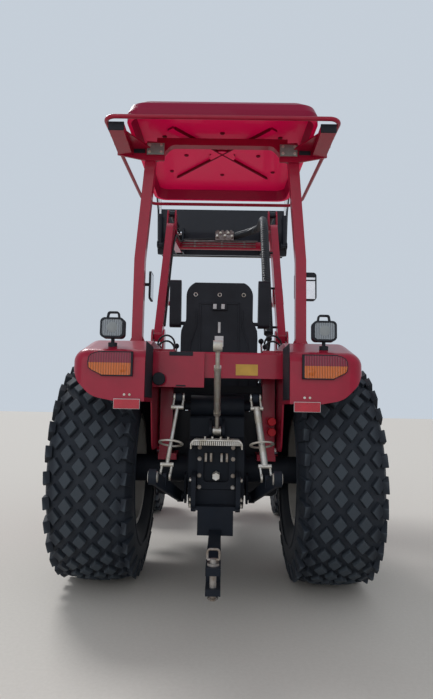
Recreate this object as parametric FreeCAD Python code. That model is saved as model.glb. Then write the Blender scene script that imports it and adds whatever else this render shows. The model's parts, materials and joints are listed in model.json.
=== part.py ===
import FreeCAD
import Part
import math
import os

# Compact utility tractor with a two-post roof, a front loader with an opening
# bucket, and a three-point hitch. Millimetres. While it is modelled, the rear
# axle is at Y = 0, +Y points forward, +X to the tractor's right, +Z up from the
# floor. The finished pieces are shifted so that the origin is below the middle.

V = FreeCAD.Vector

# Running gear
WHEELBASE = 1900.0
REAR_TRACK = 1260.0
FRONT_TRACK = 1300.0
REAR_TYRE_DIAMETER = 1240.0
REAR_TYRE_WIDTH = 440.0
REAR_RIM_DIAMETER = 609.6
FRONT_TYRE_DIAMETER = 820.0
FRONT_TYRE_WIDTH = 270.0
FRONT_RIM_DIAMETER = 419.1
REAR_PITCHES = 14
FRONT_PITCHES = 12
LUG_HEIGHT = 25.0
KINGPIN_HALF_SPAN = 500.0
STEERING_ARM = 150.0

# Clearances
SEAT_GAP = 0.3
SHAFT_GAP = 0.05
MOVING_GAP = 6.0

# Body
CASE_HALF_WIDTH = 150.0
CASE_BOTTOM = 425.0
CASE_TOP = 800.0
CASE_REAR = -300.0
CASE_FRONT = 1150.0
ENGINE_FRONT = WHEELBASE - 200.0
FLOOR_TOP = 652.0
FLOOR_THICKNESS = 8.0
FENDER_INNER = 340.0
FENDER_OUTER = 690.0
FENDER_TOP = 1320.0
FENDER_REAR = -715.0
FENDER_LIP = 1000.0
FENDER_SKIN = 8.0
FENDER_ROUND = 70.0
FRONT_EDGE_Z = 700.0
COWL_FRONT = 1144.0
HOOD_REAR = COWL_FRONT + 14.0
HOOD_HINGE = (HOOD_REAR + 10.0, 1384.0)
HOOD_HINGE_X = 105.0
HOOD_HINGE_PIN = 5.0
HOOD_FRONT = WHEELBASE + 430.0
HOOD_TOP = 1400.0
HOOD_BOTTOM = 880.0
HOOD_HALF_WIDTH = 250.0
HOOD_SKIN = 6.0

# Roll-over frame and canopy
POST_SIZE = 62.0
POST_Y = -70.0
POST_HALF_SPAN = 484.5
POST_TOP_HALF_SPAN = 430.0
POST_BEND_Z = 1860.0
POST_TOP_Z = 2600.0
CANOPY_LIP = 2580.0
CANOPY_TOP = 2710.0
CANOPY_HALF_WIDTH = 545.0
CANOPY_REAR = -420.0
CANOPY_FRONT = 780.0
RAIL_RADIUS = 12.0

# Loader
BOOM_PIVOT = (1070.0, 1540.0)
BOOM_KNEE = (1780.0, 2680.0)
BOOM_TIP = (2750.0, 2800.0)
ARM_X = 500.0
ARM_WIDTH = 65.0
ARM_DEPTH = 150.0
PIN_RADIUS = 20.0
LIFT_ANCHOR = (943.0, 933.0)
LIFT_EYE_RADIUS = 500.0
LIFT_EYE_LEAD = -14.0
TILT_ANCHOR = (1900.0, 2890.0)
TILT_EYE_RADIUS = 200.0
TILT_EYE_ANGLE = 62.0
TUBE_SHARE = 0.794
TUBE_RADIUS = 45.0
LUG_SPREAD = 65.0
LUG_PLATE = 12.0
TILT_PIN_RADIUS = 15.0
BUCKET_HALF_WIDTH = 775.0
BUCKET_PLATE = 12.0
BUCKET_BACK = 2945.0
BUCKET_ROLL = 15.0
# Points on the level bucket, before it is rolled back about the boom's tip
LEVEL_PIVOT = (3010.0, 3240.0)
LEVEL_ANCHOR = (2885.0, 2850.0)
LEVEL_EYE = (2900.0, 3410.0)

# Three-point hitch
LINK_PIVOT = (-60.0, 462.0)
LINK_BALL = (-850.0, 674.0)
LINK_PIVOT_X = 205.0
LINK_BALL_X = 270.0
ROCKSHAFT = (-150.0, 985.0)
LIFT_ARM_END = (-400.0, 1030.0)
LIFT_ARM_X = 200.0
LIFT_LINK_SHARE = 0.645
LINK_CLEVIS = (-570.0, 640.0)
TOP_LINK_PIN = (-265.0, 850.0)
TOP_LINK_BALL = (-660.0, 1272.0)
PTO_AXIS_Z = 620.0
PTO_RADIUS = 17.46
DRAWBAR_END = -1050.0
DRAWBAR_BOTTOM = 327.0
DRAWBAR_THICKNESS = 29.0
DRAWBAR_WIDTH = 60.0
DRAWBAR_PIN_Y = -1010.0
DRAWBAR_PIN_RADIUS = 13.5

# A lug's flat top is nearer to the axle than its corners by this share
FLAT_SHARE = 0.9962
REAR_AXLE_Z = REAR_TYRE_DIAMETER / 2 * FLAT_SHARE
FRONT_AXLE_Z = FRONT_TYRE_DIAMETER / 2 * FLAT_SHARE


# Basic shapes

def box(x, y, z):
    """Block between a pair of limits along each axis."""
    return Part.makeBox(x[1] - x[0], y[1] - y[0], z[1] - z[0], V(x[0], y[0], z[0]))


def bar(start, end, radius):
    """Round bar between two points."""
    axis = V(*end) - V(*start)
    return Part.makeCylinder(radius, axis.Length, V(*start), axis)


def cross_bar(low, high, point, radius):
    """Round bar along X between two limits, through a (y, z) point."""
    return bar((low, point[0], point[1]), (high, point[0], point[1]), radius)


def ball(centre, radius):
    return Part.makeSphere(radius, V(*centre))


def fuse(shapes):
    """One solid out of shapes that touch or overlap."""
    first, rest = shapes[0], shapes[1:]
    return first.fuse(rest).removeSplitter() if rest else first


def group(shapes):
    """Separate solids that share a node."""
    return Part.makeCompound(shapes)


def mirrored(shape):
    """The same shape on the tractor's other side."""
    return shape.mirror(V(0, 0, 0), V(1, 0, 0))


def pair(shape):
    return group([shape, mirrored(shape)])


def point_in(plane, a, b, c):
    """Point from two coordinates in a named plane and one across it."""
    return {"yz": V(c, a, b), "xz": V(a, c, b), "xy": V(a, b, c)}[plane]


def rounded_wire(corners, closed):
    """Wire through (point, radius) corners, each rounded by an arc of its radius."""
    count = len(corners)
    runs = []
    for index, (corner, radius) in enumerate(corners):
        at_end = not closed and index in (0, count - 1)
        if at_end or radius <= 0:
            runs.append([corner])
            continue
        back = (corners[index - 1][0] - corner).normalize()
        ahead = (corners[(index + 1) % count][0] - corner).normalize()
        half = math.acos(max(-1.0, min(1.0, back.dot(ahead)))) / 2
        reach = radius / math.tan(half)
        middle = (back + ahead).normalize() * (radius / math.sin(half) - radius)
        runs.append([corner + back * reach, corner + middle, corner + ahead * reach])
    edges = []
    for index, run in enumerate(runs):
        if len(run) == 3:
            edges.append(Part.Arc(*run).toShape())
        if index == count - 1 and not closed:
            break
        start, end = run[-1], runs[(index + 1) % count][0]
        if (end - start).Length > 0.001:
            edges.append(Part.LineSegment(start, end).toShape())
    return Part.Wire(edges)


def outline(plane, corners, level):
    """Closed wire in a plane through corners (a, b) or (a, b, radius)."""
    points = [(point_in(plane, c[0], c[1], level), c[2] if len(c) > 2 else 0.0) for c in corners]
    return rounded_wire(points, True)


def pipe(points, radius, closed=False):
    """Round tube or hose along straight runs and arcs, through (x, y, z, bend) points."""
    wire = rounded_wire([(V(p[0], p[1], p[2]), p[3] if len(p) > 3 else 0.0) for p in points], closed)
    pieces = []
    for edge in wire.Edges:
        start = edge.valueAt(edge.FirstParameter)
        tangent = edge.tangentAt(edge.FirstParameter)
        face = Part.Face(Part.Wire(Part.Circle(start, tangent, radius).toShape()))
        if isinstance(edge.Curve, Part.Circle):
            sweep = math.degrees(edge.LastParameter - edge.FirstParameter)
            pieces.append(face.revolve(edge.Curve.Center, edge.Curve.Axis, sweep))
        else:
            end = edge.valueAt(edge.LastParameter)
            pieces.append(face.extrude(end - start))
    return fuse(pieces)


def prism(plane, corners, low, high):
    """Solid with an outline in a plane, between two levels across it."""
    face = Part.Face(outline(plane, corners, low))
    return face.extrude(point_in(plane, 0, 0, high - low))


def offset_path(path, distance):
    """Open path of (a, b, radius) moved to its left by a distance."""
    count = len(path)
    moved = []
    for index, (a, b, radius) in enumerate(path):
        before = path[max(index - 1, 0)]
        after = path[min(index + 1, count - 1)]
        first = V(a - before[0], b - before[1], 0) if index else None
        second = V(after[0] - a, after[1] - b, 0) if index < count - 1 else None
        first = (first or second).normalize()
        second = (second or first).normalize()
        left = [V(-d.y, d.x, 0) for d in (first, second)]
        mitre = (left[0] + left[1]) * (distance / (1 + left[0].dot(left[1])))
        turn = first.cross(second).z
        change = -distance if turn > 0 else distance
        moved.append((a + mitre.x, b + mitre.y, max(radius + change, 0.0) if radius else 0.0))
    return moved


def sheet(plane, path, thickness, low, high):
    """Bent strip: an open path with a thickness to its left, extruded across its plane."""
    return prism(plane, path + offset_path(path, thickness)[::-1], low, high)


def faceted_ring(profile, sides, centre_x, axle_y, axle_z):
    """Ring about X in flat facets with a flat side down, from a closed (x, radius) profile."""
    step = 2 * math.pi / sides
    rings = []
    for index in range(sides):
        angle = -math.pi / 2 + (index + 0.5) * step
        rings.append([V(centre_x + x, axle_y + r * math.cos(angle), axle_z + r * math.sin(angle))
                      for x, r in profile])
    faces = []
    for index in range(sides):
        near, far = rings[index - 1], rings[index]
        for corner in range(len(profile)):
            after = (corner + 1) % len(profile)
            loop = [near[corner], near[after], far[after], far[corner], near[corner]]
            faces.append(Part.Face(Part.makePolygon(loop)))
    solid = Part.makeSolid(Part.makeShell(faces))
    if solid.Volume < 0:
        solid.reverse()
    return solid.removeSplitter()


# Wheels

REAR_TREAD = {"columns": 4, "pitches": REAR_PITCHES}
FRONT_TREAD = {"columns": 2, "pitches": FRONT_PITCHES}
TREAD_SHARE = 0.80


def lug(x, across, along, low, high):
    """Tread block with a diamond base, pointing down from an axle at the origin."""
    loops = []
    for level, size in ((low, 1.0), (high, 0.86)):
        corners = [V(x - across * size, 0, -level), V(x, -along * size, -level),
                   V(x + across * size, 0, -level), V(x, along * size, -level)]
        loops.append(Part.makePolygon(corners + corners[:1]))
    return Part.makeLoft(loops, True, True)


def tyre(width, diameter, rim_diameter, tread, centre_x, axle_y, axle_z):
    """Tyre with a lattice of diamond lugs, one on every second facet of each column."""
    half = width / 2
    sides = 2 * tread["pitches"]
    top = diameter / 2 * FLAT_SHARE
    base = top - LUG_HEIGHT
    crown = base / math.cos(math.pi / sides)
    bead = rim_diameter / 2
    wall = crown - bead
    right = [
        (0.72 * half, bead),
        (0.72 * half, bead + 0.07 * wall),
        (half, bead + 0.45 * wall),
        (0.95 * half, crown - 0.16 * wall),
        (TREAD_SHARE * half, crown),
    ]
    left = [(-x, r) for x, r in right[::-1]]
    carcass = faceted_ring(right + left, sides, 0, 0, 0)
    step = 2 * TREAD_SHARE * half / tread["columns"]
    along = 0.44 * 2 * base * math.tan(math.pi / sides)
    lugs = []
    for column in range(tread["columns"]):
        x = (column + 0.5) * step - TREAD_SHARE * half
        at_edge = column in (0, tread["columns"] - 1)
        block = lug(x, (0.48 if at_edge else 0.60) * step, along, base - 2, top)
        for pitch in range(tread["pitches"]):
            turn = (2 * pitch + column % 2) * 360.0 / sides
            copy = block.copy()
            copy.rotate(V(0, 0, 0), V(1, 0, 0), turn)
            lugs.append(copy)
    solid = carcass.fuse(lugs)
    solid.translate(V(centre_x, axle_y, axle_z))
    return solid


def rim(width, rim_diameter, tyre_diameter, sides, disc_offset, hub, shaft, side, centre_x, axle_y, axle_z):
    """Steel wheel with flanges, a coned disc, a hub and the half shaft that carries it."""
    bead_x = 0.72 * width / 2
    bead_r = rim_diameter / 2
    crown = (tyre_diameter / 2 * FLAT_SHARE - LUG_HEIGHT) / math.cos(math.pi / sides)
    flange_r = bead_r + 0.07 * (crown - bead_r)
    plate = 10.0
    barrel = 9.0
    flange_x = bead_x + plate
    profile = [
        (-flange_x, flange_r),
        (-bead_x - SEAT_GAP, flange_r),
        (-bead_x - SEAT_GAP, bead_r - SEAT_GAP),
        (bead_x + SEAT_GAP, bead_r - SEAT_GAP),
        (bead_x + SEAT_GAP, flange_r),
        (flange_x, flange_r),
        (flange_x, bead_r - barrel),
        (disc_offset + plate, bead_r - barrel),
        (disc_offset - 0.12 * bead_r, hub["radius"]),
        (disc_offset - 0.12 * bead_r - plate, hub["radius"]),
        (disc_offset, bead_r - barrel),
        (-flange_x, bead_r - barrel),
    ]
    if side < 0:
        profile = [(-x, r) for x, r in profile[::-1]]
    ring = faceted_ring(profile, sides, centre_x, axle_y, axle_z)
    face = centre_x + side * (disc_offset - 0.12 * bead_r)
    axle = (axle_y, axle_z)
    drum = cross_bar(face - side * hub["depth"], face + side * hub["cap"], axle, hub["radius"] + 1)
    stub = cross_bar(side * shaft["inner"], face, axle, shaft["radius"])
    return fuse([ring, drum, stub])


REAR_SHAFT = {"inner": 360.0, "radius": 45.0}
REAR_HUB = {"radius": 110.0, "depth": 60.0, "cap": 40.0}
FRONT_SHAFT = {"inner": 570.0, "radius": 28.0}
FRONT_HUB = {"radius": 75.0, "depth": 30.0, "cap": 70.0}
REAR_DISC_OFFSET = -10.0
FRONT_DISC_OFFSET = 45.0
REAR_HOUSING_END = REAR_TRACK / 2 + REAR_DISC_OFFSET - 0.12 * REAR_RIM_DIAMETER / 2 - REAR_HUB["depth"] - MOVING_GAP


def wheel_nodes():
    table = (
        # name, track, axle, tyre width and diameter, rim diameter, tread, disc offset, hub, shaft
        ("rear_", REAR_TRACK, (0.0, REAR_AXLE_Z), REAR_TYRE_WIDTH, REAR_TYRE_DIAMETER, REAR_RIM_DIAMETER,
         REAR_TREAD, REAR_DISC_OFFSET, REAR_HUB, REAR_SHAFT),
        ("front_", FRONT_TRACK, (WHEELBASE, FRONT_AXLE_Z), FRONT_TYRE_WIDTH, FRONT_TYRE_DIAMETER, FRONT_RIM_DIAMETER,
         FRONT_TREAD, FRONT_DISC_OFFSET, FRONT_HUB, FRONT_SHAFT),
    )
    nodes = {}
    for name, track, axle, width, diameter, bead, tread, offset, hub, shaft in table:
        for side, hand in ((-1, "left"), (1, "right")):
            x = side * track / 2
            nodes["tyre_" + name + hand] = tyre(width, diameter, bead, tread, x, *axle)
            nodes["rim_" + name + hand] = rim(width, bead, diameter, 2 * tread["pitches"], offset, hub, shaft, side, x,
                                              *axle)
    return nodes


# Chassis

HOUSING_RADIUS = 78.0
BULGE_X = 170.0


def top_link_ears():
    """Cast ears on the gear case's rear that hold the top link's pin."""
    y, z = TOP_LINK_PIN
    ears = []
    for s in (-1, 1):
        ears.append(prism("yz", [(-205, z - 40), (-205, z + 70), (y + 5, z + 50, 30), (y - 26, z + 20, 24),
                                 (y - 26, z - 28, 24)], *sorted((s * 28, s * 42))))
    return ears


def gear_case():
    """Transmission and rear axle housing, one casting with a ribbed rear and trumpet ends."""
    side = [
        (CASE_REAR, 500, 20), (CASE_REAR, CASE_TOP - 10, 20), (-215, CASE_TOP + 15, 10),
        (-215, CASE_TOP + 130, 20), (-60, CASE_TOP + 130, 40),
        (60, CASE_TOP, 30), (CASE_FRONT, CASE_TOP - 60), (CASE_FRONT, CASE_BOTTOM + 40),
        (300, CASE_BOTTOM, 30), (-200, CASE_BOTTOM, 40),
    ]
    parts = [prism("yz", side, -CASE_HALF_WIDTH, CASE_HALF_WIDTH)]
    parts.append(cross_bar(-REAR_HOUSING_END, REAR_HOUSING_END, (0, REAR_AXLE_Z), HOUSING_RADIUS))
    for x in (-1, 1):
        parts.append(cross_bar(x * (REAR_HOUSING_END - 25), x * REAR_HOUSING_END, (0, REAR_AXLE_Z), 105))
        parts.append(cross_bar(x * 140, x * BULGE_X, (0, REAR_AXLE_Z), 120))
    solid = fuse(parts)
    for x in (-1, 1):
        bore = cross_bar(x * (REAR_SHAFT["inner"] - 5), x * (REAR_HOUSING_END + 1), (0, REAR_AXLE_Z),
                         REAR_SHAFT["radius"] + SHAFT_GAP)
        solid = solid.cut(bore)
    shaft_hole = bar((0, CASE_REAR - 1, PTO_AXIS_Z), (0, CASE_REAR + 61, PTO_AXIS_Z), PTO_RADIUS + SHAFT_GAP)
    rock_hole = cross_bar(-CASE_HALF_WIDTH - 1, CASE_HALF_WIDTH + 1, ROCKSHAFT, 25 + SHAFT_GAP)
    rock_boss = cross_bar(-CASE_HALF_WIDTH, CASE_HALF_WIDTH, ROCKSHAFT, 60)
    pin = cross_bar(-44, 44, TOP_LINK_PIN, 12.5)
    y = (CASE_REAR - 30, CASE_REAR + 1)
    ring = prism("xz", [(-100, 548, 20), (100, 548, 20), (100, 775, 30), (-100, 775, 30)], *y)
    ring = ring.cut(prism("xz", [(-68, 585, 20), (68, 585, 20), (68, 740, 20), (-68, 740, 20)], y[0] - 1, y[1] - 1))
    solid = fuse([solid, rock_boss, ring] + top_link_ears())
    return fuse([solid.cut(shaft_hole).cut(rock_hole), pin])


def engine():
    """Engine mass at its real place, under the hood."""
    return box((-190, 190), (CASE_FRONT + SEAT_GAP, ENGINE_FRONT), (500, 1130))


AXLE_Z = FRONT_AXLE_Z
TRUNNION_RADIUS = 34.0
TRUNNION_REACH = 150.0
TRUNNION_Z = 455.0


def front_frame():
    """Cast bolster under the radiator with two hangers for the axle and a guard plate."""
    top = 640.0
    side = [
        (ENGINE_FRONT + SEAT_GAP, 500), (ENGINE_FRONT + SEAT_GAP, top + 60),
        (HOOD_FRONT - 40, top + 60), (HOOD_FRONT, top, 20), (HOOD_FRONT, 560, 20), (HOOD_FRONT - 200, 560),
        (HOOD_FRONT - 200, 580), (ENGINE_FRONT + 20, 580), (ENGINE_FRONT + 20, 500),
    ]
    parts = [prism("yz", side, -160, 160)]
    for y in (WHEELBASE - TRUNNION_REACH + 10, WHEELBASE + TRUNNION_REACH - 45):
        hanger = [(-90, 600), (90, 600), (60, TRUNNION_Z - 55, 25), (-60, TRUNNION_Z - 55, 25)]
        parts.append(prism("xz", hanger, y, y + 35))
    parts.append(prism("xz", [(-200, 540, 20), (200, 540, 20), (200, 760, 20), (-200, 760, 20)],
                       HOOD_FRONT + 5, HOOD_FRONT + 17))
    parts.append(box((-160, 160), (HOOD_FRONT - 10, HOOD_FRONT + 6), (600, 640)))
    solid = fuse(parts)
    return solid.cut(bar((0, ENGINE_FRONT, TRUNNION_Z), (0, WHEELBASE + 210, TRUNNION_Z), TRUNNION_RADIUS + SEAT_GAP))


def front_axle():
    """Driven front axle: centre case, two tubes and the kingpin bosses at their ends."""
    parts = [
        bar((0, WHEELBASE - TRUNNION_REACH, TRUNNION_Z), (0, WHEELBASE + TRUNNION_REACH, TRUNNION_Z), TRUNNION_RADIUS),
        box((-95, 95), (WHEELBASE - 85, WHEELBASE + 85), (330, 500)),
        cross_bar(-KINGPIN_HALF_SPAN, KINGPIN_HALF_SPAN, (WHEELBASE, AXLE_Z), 48),
    ]
    for x in (-KINGPIN_HALF_SPAN, KINGPIN_HALF_SPAN):
        parts.append(bar((x, WHEELBASE, AXLE_Z - 60), (x, WHEELBASE, AXLE_Z + 60), 56))
    solid = fuse(parts)
    for x in (-KINGPIN_HALF_SPAN, KINGPIN_HALF_SPAN):
        solid = solid.cut(bar((x, WHEELBASE, AXLE_Z - 61), (x, WHEELBASE, AXLE_Z + 61), 20 + SHAFT_GAP))
    return solid


def knuckle():
    """Right knuckle: fork over the kingpin boss, spindle bore and steering arm."""
    x = KINGPIN_HALF_SPAN
    arm_low = AXLE_Z - 60 - MOVING_GAP - 24
    profile = [(x - 45, AXLE_Z + 90), (x + 110, AXLE_Z + 90, 30), (x + 110, AXLE_Z - 90, 30), (x - 45, AXLE_Z - 90)]
    fork = prism("xz", profile, WHEELBASE - 50, WHEELBASE + 50)
    gap = box((x - 80, x + 66), (WHEELBASE - 80, WHEELBASE + 80), (AXLE_Z - 60 - MOVING_GAP, AXLE_Z + 60 + MOVING_GAP))
    arm = prism("xy", [(x - 40, WHEELBASE), (x + 40, WHEELBASE), (x + 10, WHEELBASE - STEERING_ARM - 30, 28),
                       (x - 50, WHEELBASE - STEERING_ARM - 30, 28)], arm_low, arm_low + 18)
    hub = cross_bar(x + 66, x + 130, (WHEELBASE, AXLE_Z), 62)
    solid = fuse([fork.cut(gap), arm, hub])
    pins = bar((x, WHEELBASE, AXLE_Z - 88), (x, WHEELBASE, AXLE_Z + 88), 20)
    solid = fuse([solid, pins])
    bore = cross_bar(FRONT_SHAFT["inner"] - 2, x + 131, (WHEELBASE, AXLE_Z), FRONT_SHAFT["radius"] + SHAFT_GAP)
    return solid.cut(bore)


TIE_ROD_Z = AXLE_Z - 60 - MOVING_GAP - 24 + 18 + SEAT_GAP
TIE_ROD_END = (KINGPIN_HALF_SPAN - 20, WHEELBASE - STEERING_ARM)


def steering_rod():
    """Tie rod between the two steering arms, resting on them with its flat eyes."""
    x, y = TIE_ROD_END
    parts = [bar((-x + 20, y, TIE_ROD_Z + 12), (x - 20, y, TIE_ROD_Z + 12), 12)]
    for end in (-x, x):
        parts.append(bar((end, y, TIE_ROD_Z), (end, y, TIE_ROD_Z + 24), 26))
    return fuse(parts)


# Body panels

FENDER_PATH = [
    (FENDER_REAR, FENDER_LIP, 0), (FENDER_REAR, 1235, 60), (-430, FENDER_TOP, 120),
    (330, FENDER_TOP, 160), (590, 1040, 160), (690, 700, 0),
]


def fender_space():
    """Room below the right fender's skin, a hair above it, for pieces that stand on it."""
    return prism("yz", offset_path(FENDER_PATH, SEAT_GAP) + [(690, 600), (FENDER_REAR, 600)], 300, 800)


def fender_block(inset, low):
    """Solid under the fender's outline, rounded along its outer edge."""
    path = offset_path(FENDER_PATH, -inset)
    block = prism("yz", path + [(path[-1][0], low, 0), (path[0][0], low, 0)], FENDER_INNER - 20 * bool(inset),
                  FENDER_OUTER - inset)
    edges = [e for e in block.Edges
             if all(abs(v.Point.x - FENDER_OUTER + inset) < 0.01 and v.Point.z > low + 1 for v in e.Vertexes)]
    return block.makeFillet(FENDER_ROUND - inset, edges)


def fender():
    """Right fender: wrapped skin rounded on its outer edge, inner wall and rear face."""
    path = FENDER_PATH
    side_opening = offset_path(path, -FENDER_ROUND - 2)
    side_opening += [(path[-1][0] - FENDER_ROUND, 500), (path[0][0] + FENDER_ROUND, 500)]
    skin = fender_block(0.0, 640).cut(fender_block(FENDER_SKIN, 600))
    skin = skin.cut(prism("yz", side_opening, FENDER_OUTER - FENDER_ROUND + 2, FENDER_OUTER + 10))
    skin = skin.cut(box((300, 800), (300, 800), (500, FRONT_EDGE_Z)))
    skin = skin.cut(box((300, 800), (-800, 300), (500, FENDER_LIP)))
    skin = skin.cut(cross_bar(FENDER_INNER + 60, FENDER_OUTER + 60, (0, REAR_AXLE_Z),
                              REAR_TYRE_DIAMETER / 2 + 3 * MOVING_GAP))
    wall = prism("yz", path + [(640, FRONT_EDGE_Z), (340, 745, 60), (-330, 745, 60), (-420, FENDER_LIP)],
                 FENDER_INNER, FENDER_INNER + FENDER_SKIN)
    slot = box((FENDER_INNER - 1, FENDER_INNER + FENDER_SKIN + 1), (-122, -18),
               (FENDER_TOP - 48, FENDER_TOP - FENDER_SKIN))
    outboard = FENDER_OUTER + 10
    corner = prism("xz", [(430, FENDER_LIP - 10), (outboard, FENDER_LIP - 10), (outboard, 1170), (660, 1090, 60),
                          (590, FENDER_LIP + 20, 120)], FENDER_REAR - 20, -560)
    return fuse([skin, wall]).cut(slot).cut(corner)


def case_space():
    """Room over and beside the gear case, for pieces that straddle it."""
    return prism("yz", [(150, 500), (CASE_FRONT + 1, 500), (CASE_FRONT + 1, CASE_TOP - 58), (150, CASE_TOP + 2)],
                 -CASE_HALF_WIDTH - SEAT_GAP, CASE_HALF_WIDTH + SEAT_GAP)


def dash_cowl():
    """Dash behind the hood, with its column bore and the instrument hood on top."""
    front = COWL_FRONT
    side = [
        (front - 125, FLOOR_TOP + SEAT_GAP), (front - 145, 1180, 80), (front - 105, 1405, 40), (front, 1415, 20),
        (front, FLOOR_TOP + SEAT_GAP),
    ]
    parts = [prism("yz", side, -215, 215)]
    y, z = HOOD_HINGE
    for s in (-1, 1):
        parts.append(prism("yz", [(front - 1, z - 8), (front - 1, z + 8), (y + 8, z + 8, 7), (y + 8, z - 8, 7)],
                           *sorted((s * (HOOD_HINGE_X - 5), s * (HOOD_HINGE_X + 5)))))
        parts.append(cross_bar(*sorted((s * (HOOD_HINGE_X - 5), s * (HOOD_HINGE_X + 20))), HOOD_HINGE, HOOD_HINGE_PIN))
    return fuse(parts).cut(case_space()).cut(steering_column(16 + SHAFT_GAP))


def floor():
    """Platform between the fenders with side aprons and two steps."""
    low = FLOOR_TOP - FLOOR_THICKNESS
    plate = prism("xy", [
        (-330, 250), (330, 250), (330, 700), (600, 700, 30), (600, 850, 30), (430, 850), (430, 1130),
        (-430, 1130), (-430, 850), (-600, 850, 30), (-600, 700, 30), (-330, 700),
    ], low, FLOOR_TOP)
    parts = [plate]
    for x in (-1, 1):
        parts.append(box(sorted((x * 592, x * 600)), (730, 820), (600, low + 1)))
        for y in (735, 800):
            parts.append(box(sorted((x * 560, x * 568)), (y, y + 20), (385, low + 1)))
        parts.append(box(sorted((x * 470, x * 620)), (690, 840), (382, 390)))
        parts.append(box(sorted((x * 222, x * (FENDER_INNER - SEAT_GAP))), (242, 250), (low, 1140)))
    parts.append(box((-230, 230), (242, 250), (low, 955)))
    parts.append(box((-FENDER_INNER + SEAT_GAP, FENDER_INNER - SEAT_GAP), (242, 260), (low, FLOOR_TOP)))
    return fuse(parts).cut(case_space())


def fuel_tank():
    """Fuel tank on the left and battery box on the right, under the platform."""
    top = FLOOR_TOP - FLOOR_THICKNESS - SEAT_GAP
    inner = CASE_HALF_WIDTH + SEAT_GAP
    return pair(prism("xz", [(inner, 415, 12), (390, 415, 45), (390, top, 12), (inner, top)], 300, 860))


def hood_section(half_width, top, bottom, y, inset):
    """Arched cross-section of the hood at one station."""
    edge = half_width - inset
    crown = top - inset
    low = bottom - (20 if inset else 0)
    return outline("xz", [(-edge, low), (-edge, crown, 70 - inset), (edge, crown, 70 - inset), (edge, low)], y)


HOOD_STATIONS = (
    # half_width, top, y
    (HOOD_HALF_WIDTH, HOOD_TOP, HOOD_REAR),
    (HOOD_HALF_WIDTH - 25, HOOD_TOP - 90, HOOD_FRONT - 90),
    (HOOD_HALF_WIDTH - 45, HOOD_TOP - 130, HOOD_FRONT),
)
GRILLE_BOX = ((-150.0, 150.0), (920.0, 1180.0))


def hood():
    """Hinged hood shell with a grille opening and two lamp openings in its nose."""
    outer = Part.makeLoft([hood_section(w, t, HOOD_BOTTOM, y, 0) for w, t, y in HOOD_STATIONS], True, True)
    inner_stations = [(w, t, y - (HOOD_SKIN if y == HOOD_FRONT else 0)) for w, t, y in HOOD_STATIONS]
    inner = Part.makeLoft([hood_section(w, t, HOOD_BOTTOM, y, HOOD_SKIN) for w, t, y in inner_stations], True, True)
    shell = outer.cut(inner)
    grille_hole = box(GRILLE_BOX[0], (HOOD_FRONT - 30, HOOD_FRONT + 10), GRILLE_BOX[1])
    lamps = [box(x, (HOOD_FRONT - 30, HOOD_FRONT + 10), (1195, 1245)) for x in ((-180, -60), (60, 180))]
    y, z = HOOD_HINGE
    shell = shell.cut([grille_hole] + lamps)
    lugs = []
    for s in (-1, 1):
        shell = shell.cut(box(sorted((s * (HOOD_HINGE_X - 8), s * (HOOD_HINGE_X + 8))), (HOOD_REAR - 1, y + 22),
                              (z - 20, HOOD_TOP + 1)))
        lug = prism("yz", [(y - 9, z - 9, 8), (y - 9, HOOD_TOP - 2), (y + 9, HOOD_TOP - 2), (y + 9, z - 9, 8)],
                    *sorted((s * (HOOD_HINGE_X + 9), s * (HOOD_HINGE_X + 16))))
        lugs.append(lug)
    solid = fuse([shell] + lugs)
    return solid.cut(cross_bar(-HOOD_HINGE_X - 30, HOOD_HINGE_X + 30, HOOD_HINGE, HOOD_HINGE_PIN + SHAFT_GAP))


def grille():
    """Grille frame and its bars, set into the nose."""
    gap = SEAT_GAP
    x0, x1 = GRILLE_BOX[0][0] + gap, GRILLE_BOX[0][1] - gap
    z0, z1 = GRILLE_BOX[1][0] + gap, GRILLE_BOX[1][1] - gap
    rear, front = HOOD_FRONT - 18, HOOD_FRONT
    frame = box((x0, x1), (rear, front), (z0, z1)).cut(box((x0 + 12, x1 - 12), (rear - 1, front + 1), (z0 + 12, z1 - 12)))
    parts = [frame]
    bars = 9
    for index in range(bars):
        z = z0 + 12 + (z1 - z0 - 24) * (index + 1) / (bars + 1)
        parts.append(box((x0 + 6, x1 - 6), (rear, front - 6), (z - 4, z + 4)))
    return fuse(parts)


def headlamps():
    gap = SEAT_GAP
    return pair(box((60 + gap, 180 - gap), (HOOD_FRONT - 40, HOOD_FRONT - 2), (1195 + gap, 1245 - gap)))


def rear_panel():
    """Cross panel between the fenders behind the seat, with its raised left box."""
    half = FENDER_INNER - SEAT_GAP
    panel = sheet("yz", [(-420, 1131, 0), (-420, 1268, 12), (-135, 1268, 0)], -8, -half, half)
    raised = box((-half, -70), (-455, -420), (1079, 1262))
    return fuse([panel, raised])


# Seat

SEAT_PAN = ((640.0, 1010.0), (250.0, 990.0))
SEAT_BACK_TOP = (180.0, 1780.0)
SEAT_SHELL = 26.0
SEAT_HALF_WIDTH = 215.0


def pan_z(y):
    """Height of the seat pan's upper face at a place along it."""
    (front, high), (rear, low) = SEAT_PAN
    return low + (high - low) * (y - rear) / (front - rear)


def back_y(z):
    """Place of the seat back's front face at a height."""
    rear, low = SEAT_PAN[1]
    top_y, top_z = SEAT_BACK_TOP
    return rear + (top_y - rear) * (z - low) / (top_z - low)


def case_top_z(y):
    """Height of the gear case's sloping top between the seat and the engine."""
    return CASE_TOP - 60 * (y - 60) / (CASE_FRONT - 60)


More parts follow.
